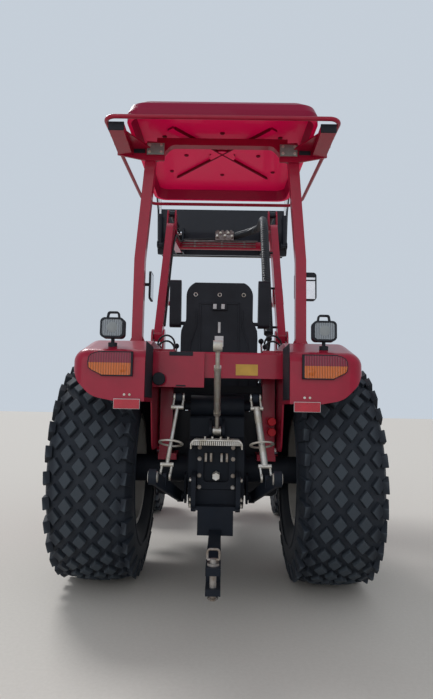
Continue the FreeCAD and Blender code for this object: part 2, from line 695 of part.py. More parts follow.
def seat_frame():
    """Seat shell, pedestal and the two armrests."""
    half = SEAT_HALF_WIDTH
    shell = sheet("yz", [(*SEAT_PAN[0], 0), (*SEAT_PAN[1], 60), (*SEAT_BACK_TOP, 0)], SEAT_SHELL, -half, half)
    shell = shell.common(prism("xz", [(-half, 900), (half, 900), (half, SEAT_BACK_TOP[1] + 5, 95),
                                      (-half, SEAT_BACK_TOP[1] + 5, 95)], 0, 700))
    pedestal = prism("yz", [(310, CASE_TOP - 30), (590, CASE_TOP - 30), (560, pan_z(560) - 10), (330, pan_z(330) - 10)],
                     -140, 140)
    rear, front = 280, 620
    plate = prism("yz", [(rear, case_top_z(rear) + SEAT_GAP), (front, case_top_z(front) + SEAT_GAP),
                         (front, case_top_z(rear) + 30), (rear, case_top_z(rear) + 30)], -148, 148)
    below = prism("yz", [(rear - 10, case_top_z(rear - 10) + SEAT_GAP), (front + 10, case_top_z(front + 10) + SEAT_GAP),
                         (front, 700), (rear, 700)], -200, 200)
    rests = []
    for x in (-1, 1):
        rests.append(cross_bar(x * (half - 1), x * 255, (back_y(1515) - 13, 1515), 12))
        rests.append(prism("yz", [(160, 1490, 22), (236, 1490, 22), (190, 1795, 30), (126, 1790, 26)],
                           *sorted((x * 249, x * 321))))
    return fuse([shell, pedestal.cut(below), plate] + rests)


def seat_cushions():
    """Seat and back cushions, plain pads that rest on the shell."""
    rear, front = 300, 655
    base = prism("yz", [(rear, pan_z(rear) + SEAT_GAP, 20), (front, pan_z(front) + SEAT_GAP, 20),
                        (front + 10, pan_z(front) + 95, 40), (rear - 5, pan_z(rear) + 95, 20)], -200, 200)
    low, high = 1100, 1745
    back = prism("yz", [(back_y(low) + SEAT_GAP, low, 15), (back_y(low) + 75, low, 30), (back_y(high) + 60, high, 30),
                        (back_y(high) + SEAT_GAP, high, 15)], -195, 195)
    return group([base, back])


# Roll-over frame and canopy

def rops_posts():
    """Two posts that stand on the fenders' frame and lean in towards the roof."""
    y = (POST_Y - POST_SIZE / 2, POST_Y + POST_SIZE / 2)
    outer_line = [
        (POST_HALF_SPAN + POST_SIZE / 2, FENDER_TOP + 12, 0), (POST_HALF_SPAN + POST_SIZE / 2, POST_BEND_Z, 150),
        (POST_TOP_HALF_SPAN + POST_SIZE / 2, POST_TOP_Z, 0),
    ]
    post = sheet("xz", outer_line, POST_SIZE, *y)
    foot = box((POST_HALF_SPAN - 60, POST_HALF_SPAN + 60), (POST_Y - 65, POST_Y + 65),
               (FENDER_TOP + SEAT_GAP, FENDER_TOP + 14))
    gussets = [prism("xz", [(POST_HALF_SPAN + s * 29, FENDER_TOP + 13), (POST_HALF_SPAN + s * 58, FENDER_TOP + 13),
                            (POST_HALF_SPAN + s * 29, FENDER_TOP + 75)], POST_Y - 5, POST_Y + 5) for s in (-1, 1)]
    return pair(fuse([post, foot] + gussets))


def rops_base():
    """Uprights on the axle housing that carry the posts under the fenders' skin."""
    upright = box((258, 330), (-120, -20), (REAR_AXLE_Z + 60, FENDER_TOP - 60))
    foot = box((230, 335), (-125, 60), (REAR_AXLE_Z + 60, REAR_AXLE_Z + 95))
    reach = box((258, POST_HALF_SPAN + 55), (-120, -20), (FENDER_TOP - 46, FENDER_TOP - FENDER_SKIN - SEAT_GAP))
    solid = fuse([upright, foot, reach, box((258, 330), (-120, -20), (FENDER_TOP - 61, FENDER_TOP - 45))])
    solid = solid.cut(cross_bar(200, 400, (0, REAR_AXLE_Z), HOUSING_RADIUS + SEAT_GAP))
    return pair(solid)


def rops_beam():
    """Cross tube between the posts' tops with curved gussets."""
    half = POST_TOP_HALF_SPAN - POST_SIZE / 2 + 3
    top = POST_TOP_Z
    y = (POST_Y - 25, POST_Y + 25)
    outline_points = [
        (-half + 1, top + 25), (half - 1, top + 25), (half + 7, top - 110), (half - 20, top - 100),
        (half - 90, top - 20, 60), (-half + 90, top - 20, 60), (-half + 20, top - 100), (-half - 7, top - 110),
    ]
    beam = prism("xz", outline_points, *y)
    return beam.cut(rops_posts_space())


def rops_posts_space():
    """Room of both posts with a hair of clearance, for pieces that meet them."""
    grown = SEAT_GAP
    path = [
        (POST_HALF_SPAN + POST_SIZE / 2 + grown, FENDER_TOP, 0),
        (POST_HALF_SPAN + POST_SIZE / 2 + grown, POST_BEND_Z, 150),
        (POST_TOP_HALF_SPAN + POST_SIZE / 2 + grown, POST_TOP_Z + grown, 0),
    ]
    return pair(sheet("xz", path, POST_SIZE + 2 * grown, POST_Y - POST_SIZE / 2 - grown, POST_Y + POST_SIZE / 2 + grown))


def canopy_frame():
    """Wing arms from the posts and the rail that runs round the roof."""
    y_arm = (POST_Y - 42, POST_Y - POST_SIZE / 2 - SEAT_GAP)
    under_lip = CANOPY_LIP - SEAT_GAP
    arm = prism("xz", [(350, 2470, 10), (470, 2470, 20), (640, 2504), (640, under_lip), (350, under_lip)], *y_arm)
    gusset = prism("xy", [(400, y_arm[1]), (640, y_arm[1]), (640, -330), (560, -330, 30), (430, y_arm[0])],
                   2541, 2549)
    tube = box((549, 633), (-400, y_arm[1]), (2504, 2549))
    clamp = box((350, 460), (POST_Y - 52, POST_Y - 42), (2500, under_lip))
    arms = [fuse([arm, gusset, tube, clamp])]
    arms.append(mirrored(arms[0]))
    z = CANOPY_LIP - RAIL_RADIUS - 6
    corner = [(652, CANOPY_REAR - 20, 60), (612, 690, 100), (540, CANOPY_FRONT + 30, 60)]
    loop = corner + [(-x, y, r) for x, y, r in corner[::-1]]
    rail = pipe([(x, y, z, r) for x, y, r in loop], RAIL_RADIUS, True)
    return fuse([rail] + arms)


ROOF_STATIONS = (
    # inset, height above lip
    (0.0, 0.0),
    (0.0, 42.0),
    (14.0, 84.0),
    (48.0, 114.0),
    (120.0, CANOPY_TOP - CANOPY_LIP),
)
LINER_DEPTH = 72.0


def roof_section(inset, rise, radius):
    half = CANOPY_HALF_WIDTH - inset
    rear = CANOPY_REAR + inset
    front = CANOPY_FRONT - inset
    return outline("xy", [(-half, rear, radius), (half, rear, radius), (half - 30, front, radius),
                          (-half + 30, front, radius)], CANOPY_LIP + rise)


def canopy_roof():
    """Moulded roof with a turned-down lip and a recessed liner below."""
    outer = Part.makeLoft([roof_section(i, z, 90) for i, z in ROOF_STATIONS], True, True)
    recess = Part.makeLoft([roof_section(22, -1, 75), roof_section(40, LINER_DEPTH, 60)], True, True)
    middle = (CANOPY_REAR + CANOPY_FRONT) / 2
    level = CANOPY_LIP + LINER_DEPTH
    ribs = [Part.makeCylinder(85, 16, V(0, middle, level - 14))]
    for heading in (-48, 48):
        rib = box((-470, 470), (middle - 24, middle + 24), (level - 14, level + 2))
        rib.rotate(V(0, middle, 0), V(0, 0, 1), heading)
        ribs.append(rib)
    return fuse([outer.cut(recess)] + ribs)


# Lamps, mirrors and fittings

def lens_red():
    upper = prism("xz", [(405, 1178), (606, 1178), (600, 1212, 10), (560, 1227, 20), (405, 1227, 8)],
                  FENDER_REAR - 16, FENDER_REAR - SEAT_GAP)
    reflector = box((358, 480), (FENDER_REAR - 8, FENDER_REAR - SEAT_GAP), (FENDER_LIP - 36, FENDER_LIP + 10))
    return group([upper, mirrored(upper), reflector, mirrored(reflector)])


def lens_amber():
    lower = prism("xz", [(405, 1120, 8), (540, 1120, 20), (600, 1150, 16), (606, 1177.7), (405, 1177.7)],
                  FENDER_REAR - 16, FENDER_REAR - SEAT_GAP)
    return pair(lower)


LAMP = {"x": 520.0, "y": -600.0, "z": 1358.0, "width": 117.0, "height": 100.0}


def work_lamps():
    """Work lamps on the fenders: square bodies with a rear handle and a foot."""
    half = LAMP["width"] / 2
    x, y, z = LAMP["x"], LAMP["y"], LAMP["z"]
    body = prism("xz", [(x - half, z - 50, 22), (x + half, z - 50, 22), (x + half, z + 50, 22), (x - half, z + 50, 22)],
                 y - 35, y + 25)
    recess = prism("xz", [(x - half + 9, z - 41, 16), (x + half - 9, z - 41, 16), (x + half - 9, z + 41, 16),
                          (x - half + 9, z + 41, 16)], y - 36, y - 23)
    handle = sheet("xz", [(x - 34, z + 48, 0), (x - 28, z + 84, 14), (x + 28, z + 84, 14), (x + 34, z + 48, 0)],
                   -9, y - 12, y + 8)
    stem = bar((x, y, 1240), (x, y, z - 48), 9)
    foot = bar((x, y, 1240), (x, y, 1286), 22)
    return pair(fuse([body.cut(recess), handle, stem, foot]).cut(fender_space()))


def lamp_glass():
    half = LAMP["width"] / 2 - 9 - SEAT_GAP
    x, y, z = LAMP["x"], LAMP["y"], LAMP["z"]
    tall = 41 - SEAT_GAP
    return pair(prism("xz", [(x - half, z - tall, 16), (x + half, z - tall, 16), (x + half, z + tall, 16),
                             (x - half, z + tall, 16)], y - 32, y - 23 - SEAT_GAP))


def mirrors():
    """Right mirror beside its post, and the left one turned edge on."""
    y0 = POST_Y + POST_SIZE / 2
    right = prism("xz", [(460, 1640, 22), (595, 1640, 22), (595, 1815, 22), (460, 1815, 22)], y0 + 40, y0 + 70)
    right_arm = bar((POST_HALF_SPAN, y0 + SEAT_GAP, 1730), (POST_HALF_SPAN, y0 + 45, 1730), 10)
    left = prism("yz", [(y0 + 50, 1640, 22), (y0 + 185, 1640, 22), (y0 + 185, 1815, 22), (y0 + 50, 1815, 22)],
                 -440, -428)
    left_arm = pipe([(-POST_HALF_SPAN, y0 + SEAT_GAP, 1730), (-POST_HALF_SPAN, y0 + 70, 1730, 22),
                     (-430, y0 + 70, 1730)], 10)
    return group([fuse([right, right_arm]), fuse([left, left_arm])])


LEVERS = (
    # foot x, y, z and top x, y, z
    ((300, 420, 1268), (285, 380, 1430)),
    ((318, 470, 1268), (318, 450, 1400)),
    ((-300, 430, 1268), (-292, 400, 1390)),
)


def levers():
    """Hand levers beside the seat, on two consoles inside the fenders."""
    consoles = [box((285, FENDER_INNER - SEAT_GAP), (340, 560), (1150, 1270)),
                box((-FENDER_INNER + SEAT_GAP, -285), (340, 560), (1150, 1270))]
    right = [consoles[0]]
    left = [consoles[1]]
    for foot, top in LEVERS:
        side = right if foot[0] > 0 else left
        side.append(bar(foot, top, 7))
        side.append(ball(top, 19))
    return group([fuse(right), fuse(left)])


def steering_wheel():
    """Steering wheel with three spokes on its column, tilted back."""
    corners = [math.radians(45 * index + 22.5) for index in range(8)]
    section = [(WHEEL_GRIP * math.sin(a), WHEEL_RADIUS + WHEEL_GRIP * math.cos(a)) for a in corners]
    ring = faceted_ring(section, 32, 0, 0, 0)
    ring.rotate(V(0, 0, 0), V(0, 1, 0), -90)
    parts = [ring, Part.makeCylinder(38, 26, V(0, 0, -20))]
    for index in range(3):
        angle = math.radians(90 + 120 * index)
        parts.append(bar((0, 0, -6), (WHEEL_RADIUS * math.cos(angle), WHEEL_RADIUS * math.sin(angle), 0), 9))
    wheel = fuse(parts)
    wheel.Placement = STEERING_PLACE
    return fuse([wheel, steering_column(16)])


def steering_column(radius):
    """Round column below the steering wheel, at a given radius."""
    column = Part.makeCylinder(radius, STEERING_COLUMN, V(0, 0, -STEERING_COLUMN - 10))
    column.Placement = STEERING_PLACE
    return column


WHEEL_RADIUS = 185.0
WHEEL_GRIP = 14.0
STEERING_CENTRE = (0.0, 880.0, 1400.0)
STEERING_TILT = 50.0
STEERING_COLUMN = 190.0
STEERING_PLACE = FreeCAD.Placement(V(*STEERING_CENTRE), FreeCAD.Rotation(V(1, 0, 0), STEERING_TILT))


# Loader

def turned(point, centre, degrees):
    """A (y, z) point turned about a centre, from +Y towards +Z."""
    angle = math.radians(degrees)
    dy, dz = point[0] - centre[0], point[1] - centre[1]
    return (centre[0] + dy * math.cos(angle) - dz * math.sin(angle),
            centre[1] + dy * math.sin(angle) + dz * math.cos(angle))


def direction(a, b):
    return math.degrees(math.atan2(b[1] - a[1], b[0] - a[0]))


LIFT_EYE = turned((BOOM_PIVOT[0] + LIFT_EYE_RADIUS, BOOM_PIVOT[1]), BOOM_PIVOT,
                  direction(BOOM_PIVOT, BOOM_KNEE) + LIFT_EYE_LEAD)
LEVEL_TILT_EYE = turned((BOOM_TIP[0] + TILT_EYE_RADIUS, BOOM_TIP[1]), BOOM_TIP, TILT_EYE_ANGLE)
TILT_EYE, CLAM_PIVOT, CLAM_ANCHOR, CLAM_EYE = [
    turned(point, BOOM_TIP, BUCKET_ROLL) for point in (LEVEL_TILT_EYE, LEVEL_PIVOT, LEVEL_ANCHOR, LEVEL_EYE)]


def loader_masts():
    """Loader uprights bolted to the gear case, forked at the boom and cylinder pins."""
    y, z = BOOM_PIVOT
    ay, az = LIFT_ANCHOR
    side = [
        (ay - 45, 560, 20), (y + 75, 560, 20), (y + 62, z, 60), (y + 40, z + 62, 50), (y - 40, z + 62, 50),
        (y - 62, z, 60), (y - 70, az + 260, 80), (ay - 50, az + 20, 40),
    ]
    inner_half = ARM_WIDTH / 2 + MOVING_GAP
    solid = prism("yz", side, ARM_X - inner_half - 14, ARM_X + inner_half + 14)
    slot = box((ARM_X - inner_half, ARM_X + inner_half), (ay - 200, y + 200), (az - 70, z + 100))
    foot = box((CASE_HALF_WIDTH + SEAT_GAP, ARM_X), (y - 65, y + 65), (540, 630))
    pins = [cross_bar(ARM_X - inner_half - 13, ARM_X + inner_half + 13, p, PIN_RADIUS)
            for p in (BOOM_PIVOT, LIFT_ANCHOR)]
    return pair(fuse([solid.cut(slot), foot] + pins))


def boom_arms():
    """Two bent boom arms of box section, tapered to the bucket pins."""
    half = ARM_DEPTH / 2
    y, z = BOOM_PIVOT
    k = BOOM_KNEE
    t = BOOM_TIP
    along = direction(BOOM_PIVOT, BOOM_KNEE)
    ahead = direction(BOOM_KNEE, BOOM_TIP)

    def side_point(base, heading, distance):
        return turned((base[0] + distance, base[1]), base, heading + 90)

    inner_bend = side_point(k, (along + ahead) / 2, half * 1.15)
    outer_bend = side_point(k, (along + ahead) / 2, -half * 1.15)
    corners = [
        (*side_point(BOOM_PIVOT, along, 52), 40), (*inner_bend, 160), (*side_point(t, ahead, 50), 40),
        (*turned((t[0] + 52, t[1]), t, ahead), 0),
        (*side_point(t, ahead, -50), 40), (*outer_bend, 100), (*side_point(BOOM_PIVOT, along, -52), 40),
        (*turned((y - 52, z), BOOM_PIVOT, along), 0),
    ]
    arm = prism("yz", corners, ARM_X - ARM_WIDTH / 2, ARM_X + ARM_WIDTH / 2)
    lug_x = ARM_X - LUG_SPREAD / 2 - LUG_PLATE, ARM_X + LUG_SPREAD / 2
    lift_lug = [
        (*turned((LIFT_EYE[0] + 42, LIFT_EYE[1]), LIFT_EYE, along - 90), 30),
        (*turned((LIFT_EYE[0] + 150, LIFT_EYE[1]), LIFT_EYE, along + 50), 0),
        (*turned((LIFT_EYE[0] + 150, LIFT_EYE[1]), LIFT_EYE, along + 130), 0),
    ]
    a = TILT_ANCHOR
    tilt_lug = [(a[0] - 40, a[1] + 36, 34), (a[0] + 40, a[1] + 36, 34), (a[0] + 95, a[1] - 170), (a[0] - 95, a[1] - 190)]
    parts = [arm]
    for x in lug_x:
        parts.append(prism("yz", lift_lug, x, x + LUG_PLATE))
        parts.append(prism("yz", tilt_lug, x, x + LUG_PLATE))
    parts.append(cross_bar(lug_x[0], lug_x[1] + LUG_PLATE, TILT_ANCHOR, TILT_PIN_RADIUS))
    for x in (lug_x[0] - 8, lug_x[1] + LUG_PLATE):
        parts.append(cross_bar(x, x + 8, LIFT_EYE, PIN_RADIUS))
    solid = fuse(parts)
    solid = solid.cut(cross_bar(ARM_X - 60, ARM_X + 60, BOOM_PIVOT, PIN_RADIUS + SHAFT_GAP))
    solid = solid.cut(cross_bar(ARM_X - 60, ARM_X + 60, BOOM_TIP, PIN_RADIUS + SHAFT_GAP))
    return pair(solid)


TUBE_CENTRE = (BOOM_KNEE[0] + TUBE_SHARE * (BOOM_TIP[0] - BOOM_KNEE[0]),
               BOOM_KNEE[1] + TUBE_SHARE * (BOOM_TIP[1] - BOOM_KNEE[1]))
ARM_INNER = ARM_X - ARM_WIDTH / 2 - SEAT_GAP
LINE_RADIUS = 8.0
BUNDLE_RADIUS = 38.0
BUNDLE_X = ARM_INNER - BUNDLE_RADIUS - 30.0
VALVE_RIGHT = 130.0


def boom_tube():
    """Cross tube between the arms."""
    return cross_bar(-ARM_INNER, ARM_INNER, TUBE_CENTRE, TUBE_RADIUS)


def boom_valve():
    """Loader valve on the cross tube, with the steel lines that run along the tube."""
    y, z = TUBE_CENTRE
    reach = TUBE_RADIUS + LINE_RADIUS + SEAT_GAP
    lines = []
    for across in (-27, -9, 9, 27):
        height = math.sqrt(reach ** 2 - across ** 2)
        lines.append(cross_bar(-ARM_INNER + 20, BUNDLE_X, (y + across, z + height), LINE_RADIUS))
    block = box((-75, VALVE_RIGHT), (y - 50, y + 50), (z + reach - 4, z + 150))
    spools = [bar((x, y, z + 149), (x, y, z + 178), 17) for x in (-45, 5, 55, 100)]
    return fuse([block] + lines + spools)


def boom_hoses():
    """Wrapped hose bundle along the right arm up to the valve, on three brackets."""
    x = BUNDLE_X
    y, z = TUBE_CENTRE
    py, pz = BOOM_PIVOT
    ky, kz = BOOM_KNEE
    bundle = pipe([(x, py + 26, pz + 43), (x, ky - 80, kz + 120, 400), (x, y - 220, z + 125, 300),
                   (VALVE_RIGHT, y - 5, z + 105)], BUNDLE_RADIUS)
    brackets = [cross_bar(x, ARM_INNER, (py + 26 + run * 0.497, pz + 43 + run), 10) for run in (60, 430, 800)]
    solid = fuse([bundle] + brackets)
    valve_space = box((-100, VALVE_RIGHT + SEAT_GAP), (y - 80, y + 80), (z, z + 200))
    return solid.cut(valve_space)


def cylinder(anchor, eye, x, size):
    """Barrel and rod of one hydraulic cylinder between an anchor and an eye, at one X."""
    length = math.hypot(eye[0] - anchor[0], eye[1] - anchor[1])
    barrel_end = size["barrel"]
    radius, rod_radius, width = size["radius"], size["rod"], size["width"]

    def at(distance):
        share = distance / length
        return (x, anchor[0] + (eye[0] - anchor[0]) * share, anchor[1] + (eye[1] - anchor[1]) * share)

    start_eye = cross_bar(x - width / 2, x + width / 2, anchor, size["anchor_eye"])
    gland = bar(at(barrel_end - 45), at(barrel_end), radius + 4)
    barrel = fuse([start_eye, bar(at(0), at(barrel_end), radius), gland])
    barrel = barrel.cut(bar(at(size["anchor_eye"] + 10), at(barrel_end + 1), rod_radius + SHAFT_GAP))
    barrel = barrel.cut(cross_bar(x - width, x + width, anchor, size["anchor_pin"] + SHAFT_GAP))
    end_eye = cross_bar(x - width / 2, x + width / 2, eye, rod_radius * 1.45)
    rod = fuse([bar(at(barrel_end - size["engaged"]), at(length), rod_radius), end_eye])
    rod = rod.cut(cross_bar(x - width, x + width, eye, rod_radius * 0.75))
    return barrel, rod


LIFT_SIZE = {"barrel": 590.0, "radius": 32.0, "rod": 18.0, "width": 56.0, "anchor_eye": 38.0, "anchor_pin": PIN_RADIUS,
             "engaged": 90.0}
TILT_SIZE = {"barrel": 520.0, "radius": 27.0, "rod": 15.0, "width": 50.0, "anchor_eye": 30.0,
             "anchor_pin": TILT_PIN_RADIUS, "engaged": 190.0}
CLAM_SIZE = {"barrel": 350.0, "radius": 24.0, "rod": 13.0, "width": 40.0, "anchor_eye": 26.0, "anchor_pin": 12.0,
             "engaged": 60.0}
CLAM_CYLINDER_X = BUCKET_HALF_WIDTH - 45.0


def cylinder_nodes():
    nodes = {}
    table = (
        # node, anchor, eye, x, size
        ("lift", LIFT_ANCHOR, LIFT_EYE, ARM_X, LIFT_SIZE),
        ("tilt", TILT_ANCHOR, TILT_EYE, ARM_X, TILT_SIZE),
        ("clam", CLAM_ANCHOR, CLAM_EYE, CLAM_CYLINDER_X, CLAM_SIZE),
    )
    for name, anchor, eye, x, size in table:
        barrel, rod = cylinder(anchor, eye, x, size)
        nodes[name + "_barrels"] = pair(barrel)
        nodes[name + "_rods"] = pair(rod)
    return nodes


BUCKET_HEEL = 2735.0
BUCKET_TOP = 3265.0
BUCKET_EDGE = 3600.0


def rolled(shape):
    """A shape built for the level bucket, rolled back about the boom's tip."""
    shape.rotate(V(0, *BOOM_TIP), V(1, 0, 0), BUCKET_ROLL)
    return shape


def bucket():
    """Fixed back of the bucket with its end plates, pins and the plates on the boom."""
    inner = BUCKET_HALF_WIDTH - BUCKET_PLATE - MOVING_GAP
    rear, heel, top = BUCKET_BACK, BUCKET_HEEL, BUCKET_TOP
    px, pz = LEVEL_PIVOT
    back = sheet("yz", [(rear, heel, 0), (rear - 5, (heel + top) / 2, 300), (rear + 40, top, 0)], -14, -inner, inner)
    parts = [back]
    ends = [(rear, heel), (rear + 14, heel), (rear + 14, heel + 90), (px + 40, pz - 10, 30), (px + 30, pz + 40, 30),
            (rear + 40, top)]
    spread = ARM_WIDTH / 2 + MOVING_GAP
    ty, tz = BOOM_TIP
    ey, ez = LEVEL_TILT_EYE
    plate = [(ty - 48, tz - 40, 40), (rear + 5, heel + 5), (rear + 5, ez + 70), (ey - 10, ez + 48, 40),
             (ey - 60, ez, 40), (ty - 50, tz + 30, 40)]
    ay, az = LEVEL_ANCHOR
    anchor = [(ay - 28, az - 26, 26), (rear + 8, az - 60), (rear + 8, az + 60), (ay - 28, az + 26, 26)]
    lug = CLAM_SIZE["radius"] + 5
    for side in (-1, 1):
        parts.append(prism("yz", ends, *sorted((side * (inner - 12), side * inner))))
        parts.append(cross_bar(side * (inner - 12), side * BUCKET_HALF_WIDTH, LEVEL_PIVOT, PIN_RADIUS))
        for x in (ARM_X - spread - LUG_PLATE, ARM_X + spread):
            parts.append(prism("yz", plate, *sorted((side * x, side * (x + LUG_PLATE)))))
        parts.append(cross_bar(side * (ARM_X - spread - 10), side * (ARM_X + spread + 10), BOOM_TIP, PIN_RADIUS))
        for x in (ARM_X - spread - LUG_PLATE - 8, ARM_X + spread + LUG_PLATE):
            parts.append(cross_bar(side * x, side * (x + 8), LEVEL_TILT_EYE, PIN_RADIUS))
        for x in (CLAM_CYLINDER_X - lug - 10, CLAM_CYLINDER_X + lug):
            parts.append(prism("yz", anchor, *sorted((side * x, side * (x + 10)))))
        parts.append(cross_bar(side * (CLAM_CYLINDER_X - lug - 9), side * (CLAM_CYLINDER_X + lug + 9), LEVEL_ANCHOR,
                               CLAM_SIZE["anchor_pin"]))
    return rolled(fuse(parts))


def clam():
    """Opening front of the bucket: floor, cutting edge, two sides and their levers."""
    half = BUCKET_HALF_WIDTH
    heel, edge = BUCKET_HEEL, BUCKET_EDGE
    py, pz = LEVEL_PIVOT
    rear = BUCKET_BACK + 14 + MOVING_GAP
    side = [
        (rear, heel + 40, 30), (rear + 60, heel), (edge - 40, heel), (edge - 20, heel + 60, 30), (py + 250, pz, 60),
        (py + 40, pz + 60, 50), (py - 40, pz + 40, 40), (py - 30, pz - 60),
    ]
    floor_path = [(rear, heel + 70, 0), (rear + 4, heel, 50), (edge, heel, 0)]
    parts = [sheet("yz", floor_path, 12, -half, half)]
    parts.append(prism("yz", [(edge - 150, heel - 12), (edge + 20, heel - 12), (edge + 20, heel - 6), (edge, heel + 1),
                              (edge - 150, heel + 1)], -half, half))
    ey, ez = LEVEL_EYE
    lever = [(py + 60, pz + 10, 20), (py + 30, pz + 60, 40), (ey + 22, ez + 26, 26), (ey - 26, ez + 22, 26),
             (ey - 20, ez - 30, 20), (py - 45, pz + 25, 30), (py - 10, pz - 20, 20)]
    lug = CLAM_SIZE["width"] / 2 + 4
    for s in (-1, 1):
        parts.append(prism("yz", side, *sorted((s * (half - BUCKET_PLATE), s * half))))
        parts.append(prism("yz", lever, *sorted((s * (half - BUCKET_PLATE), s * half))))
        parts.append(cross_bar(s * (CLAM_CYLINDER_X + lug), s * (half - 1), LEVEL_EYE, 16))
    solid = fuse(parts)
    return rolled(solid.cut(cross_bar(-half - 1, half + 1, LEVEL_PIVOT, PIN_RADIUS + SHAFT_GAP)))


# Rear hitch

def lower_links():
    """Two lower links with their ball ends, splayed outwards."""
    py, pz = LINK_PIVOT
    by, bz = LINK_BALL
    links = []
    bulb = 30.0
    heading = direction((LINK_PIVOT_X, py), (LINK_BALL_X, by))
    length = math.hypot(LINK_BALL_X - LINK_PIVOT_X, by - py)
    strap = Part.makeBox(length, 16, 60, V(0, -8, -30))
    strap.Placement = FreeCAD.Placement(V(0, 0, 0), FreeCAD.Rotation(heading, 0, 0))
    rise = math.degrees(math.atan2(bz - pz, length))
    tilt_axis = V(0, 0, 1).cross(V(LINK_BALL_X - LINK_PIVOT_X, by - py, 0))
    strap.rotate(V(0, 0, 0), tilt_axis, -rise)
    strap.translate(V(LINK_PIVOT_X, py, pz))
    parts = [strap, cross_bar(LINK_PIVOT_X - 17, LINK_PIVOT_X + 17, LINK_PIVOT, bulb),
             cross_bar(LINK_BALL_X - 17.5, LINK_BALL_X + 17.5, LINK_BALL, 34)]
    lug_x = LINK_PIVOT_X + (LINK_BALL_X - LINK_PIVOT_X) * LIFT_LINK_SHARE
    cy, cz = LINK_CLEVIS
    parts.append(prism("yz", [(cy - 18, cz + 16, 16), (cy + 18, cz + 16, 16), (cy + 30, cz - 50), (cy - 30, cz - 40)],
                       lug_x - 9, lug_x + 9))
    link = fuse(parts)
    link = link.cut(cross_bar(LINK_PIVOT_X - 50, LINK_PIVOT_X + 50, LINK_PIVOT, 14 + SHAFT_GAP))
    link = link.cut(cross_bar(LINK_BALL_X - 50, LINK_BALL_X + 50, LINK_BALL, 11.2))
    return pair(link)


def hitch_frame():
    """Drawbar frame and link pins under the gear case, with the drawbar and its clevis."""
    plates = []
    parts = []
    for s in (-1, 1):
        plates.append(prism("yz", [(-420, 470, 30), (-420, 620, 30), (-312, 640), (-312, 440, 30), (-360, 436, 20)],
                            *sorted((s * 103, s * 127))))
    parts += plates
    parts.append(box((-127, 127), (CASE_REAR - 24, CASE_REAR - SEAT_GAP), (440, 545)))
    low, high = DRAWBAR_BOTTOM, DRAWBAR_BOTTOM + DRAWBAR_THICKNESS
    guide_top = high + 23
    parts.append(box((-92, 92), (-400, -300), (guide_top - 1, 470)))
    parts.append(box((-127, 127), (-400, -313), (450, 470)))
    half = DRAWBAR_WIDTH / 2
    parts.append(box((-half, half), (DRAWBAR_END, -200), (low, high)))
    for s in (-1, 1):
        parts.append(box(sorted((s * (half + SEAT_GAP), s * 92)), (-400, -300), (high - 30, guide_top)))
    parts.append(box((-92, 92), (-400, -300), (high + SEAT_GAP, guide_top)))
    lower = DRAWBAR_BOTTOM - 79
    parts.append(box((-half, half), (DRAWBAR_END + 10, -890), (lower, lower + 25)))
    parts.append(box((-half, half), (-950, -890), (lower, low + 1)))
    solid = fuse(parts)
    pin_hole = bar((0, DRAWBAR_PIN_Y, lower - 1), (0, DRAWBAR_PIN_Y, high + 1), DRAWBAR_PIN_RADIUS + 0.5)
    return solid.cut(pin_hole)


def link_pins():
    """Brackets beside the gear case that carry the lower links' pins."""
    y, z = LINK_PIVOT
    base = prism("yz", [(y - 60, 600, 20), (y + 90, 600, 20), (y + 40, z - 34, 30), (y - 40, z - 34, 30)],
                 BULGE_X + SEAT_GAP, LINK_PIVOT_X - 23)
    base = base.cut(cross_bar(BULGE_X, LINK_PIVOT_X, (0, REAR_AXLE_Z), HOUSING_RADIUS + SEAT_GAP))
    pin = cross_bar(LINK_PIVOT_X - 30, LINK_PIVOT_X + 27, LINK_PIVOT, 14)
    return pair(fuse([base, pin]))


def drawbar_pin():
    lower = DRAWBAR_BOTTOM - 79
    high = DRAWBAR_BOTTOM + DRAWBAR_THICKNESS
    y = DRAWBAR_PIN_Y
    stem = bar((0, y, lower - 24), (0, y, high + 26), DRAWBAR_PIN_RADIUS)
    head = bar((0, y, high + SEAT_GAP), (0, y, high + 10), 24)
    grip = pipe([(-24, y, high + 24, 0), (-24, y, high + 62, 12), (24, y, high + 62, 12), (24, y, high + 24, 0)], 5)
    base = cross_bar(-24, 24, (y, high + 22), 6)
    return fuse([stem, head, grip, base])


def lift_arms():
    """Rockshaft with the two arms that raise the lower links."""
    y, z = ROCKSHAFT
    shaft = cross_bar(-LIFT_ARM_X - 14, LIFT_ARM_X + 14, ROCKSHAFT, 25)
    parts = [shaft]
    for s in (-1, 1):
        arm = prism("yz", [(y + 42, z - 34, 30), (y + 42, z + 34, 30), (LIFT_ARM_END[0] - 20, LIFT_ARM_END[1] + 22, 20),
                           (LIFT_ARM_END[0] - 20, LIFT_ARM_END[1] - 22, 20)],
                    *sorted((s * (LIFT_ARM_X - 14), s * (LIFT_ARM_X + 14))))
        parts.append(arm)
        parts.append(cross_bar(s * LIFT_ARM_X - 31, s * LIFT_ARM_X + 31, LIFT_ARM_END, 9))
    return fuse(parts)


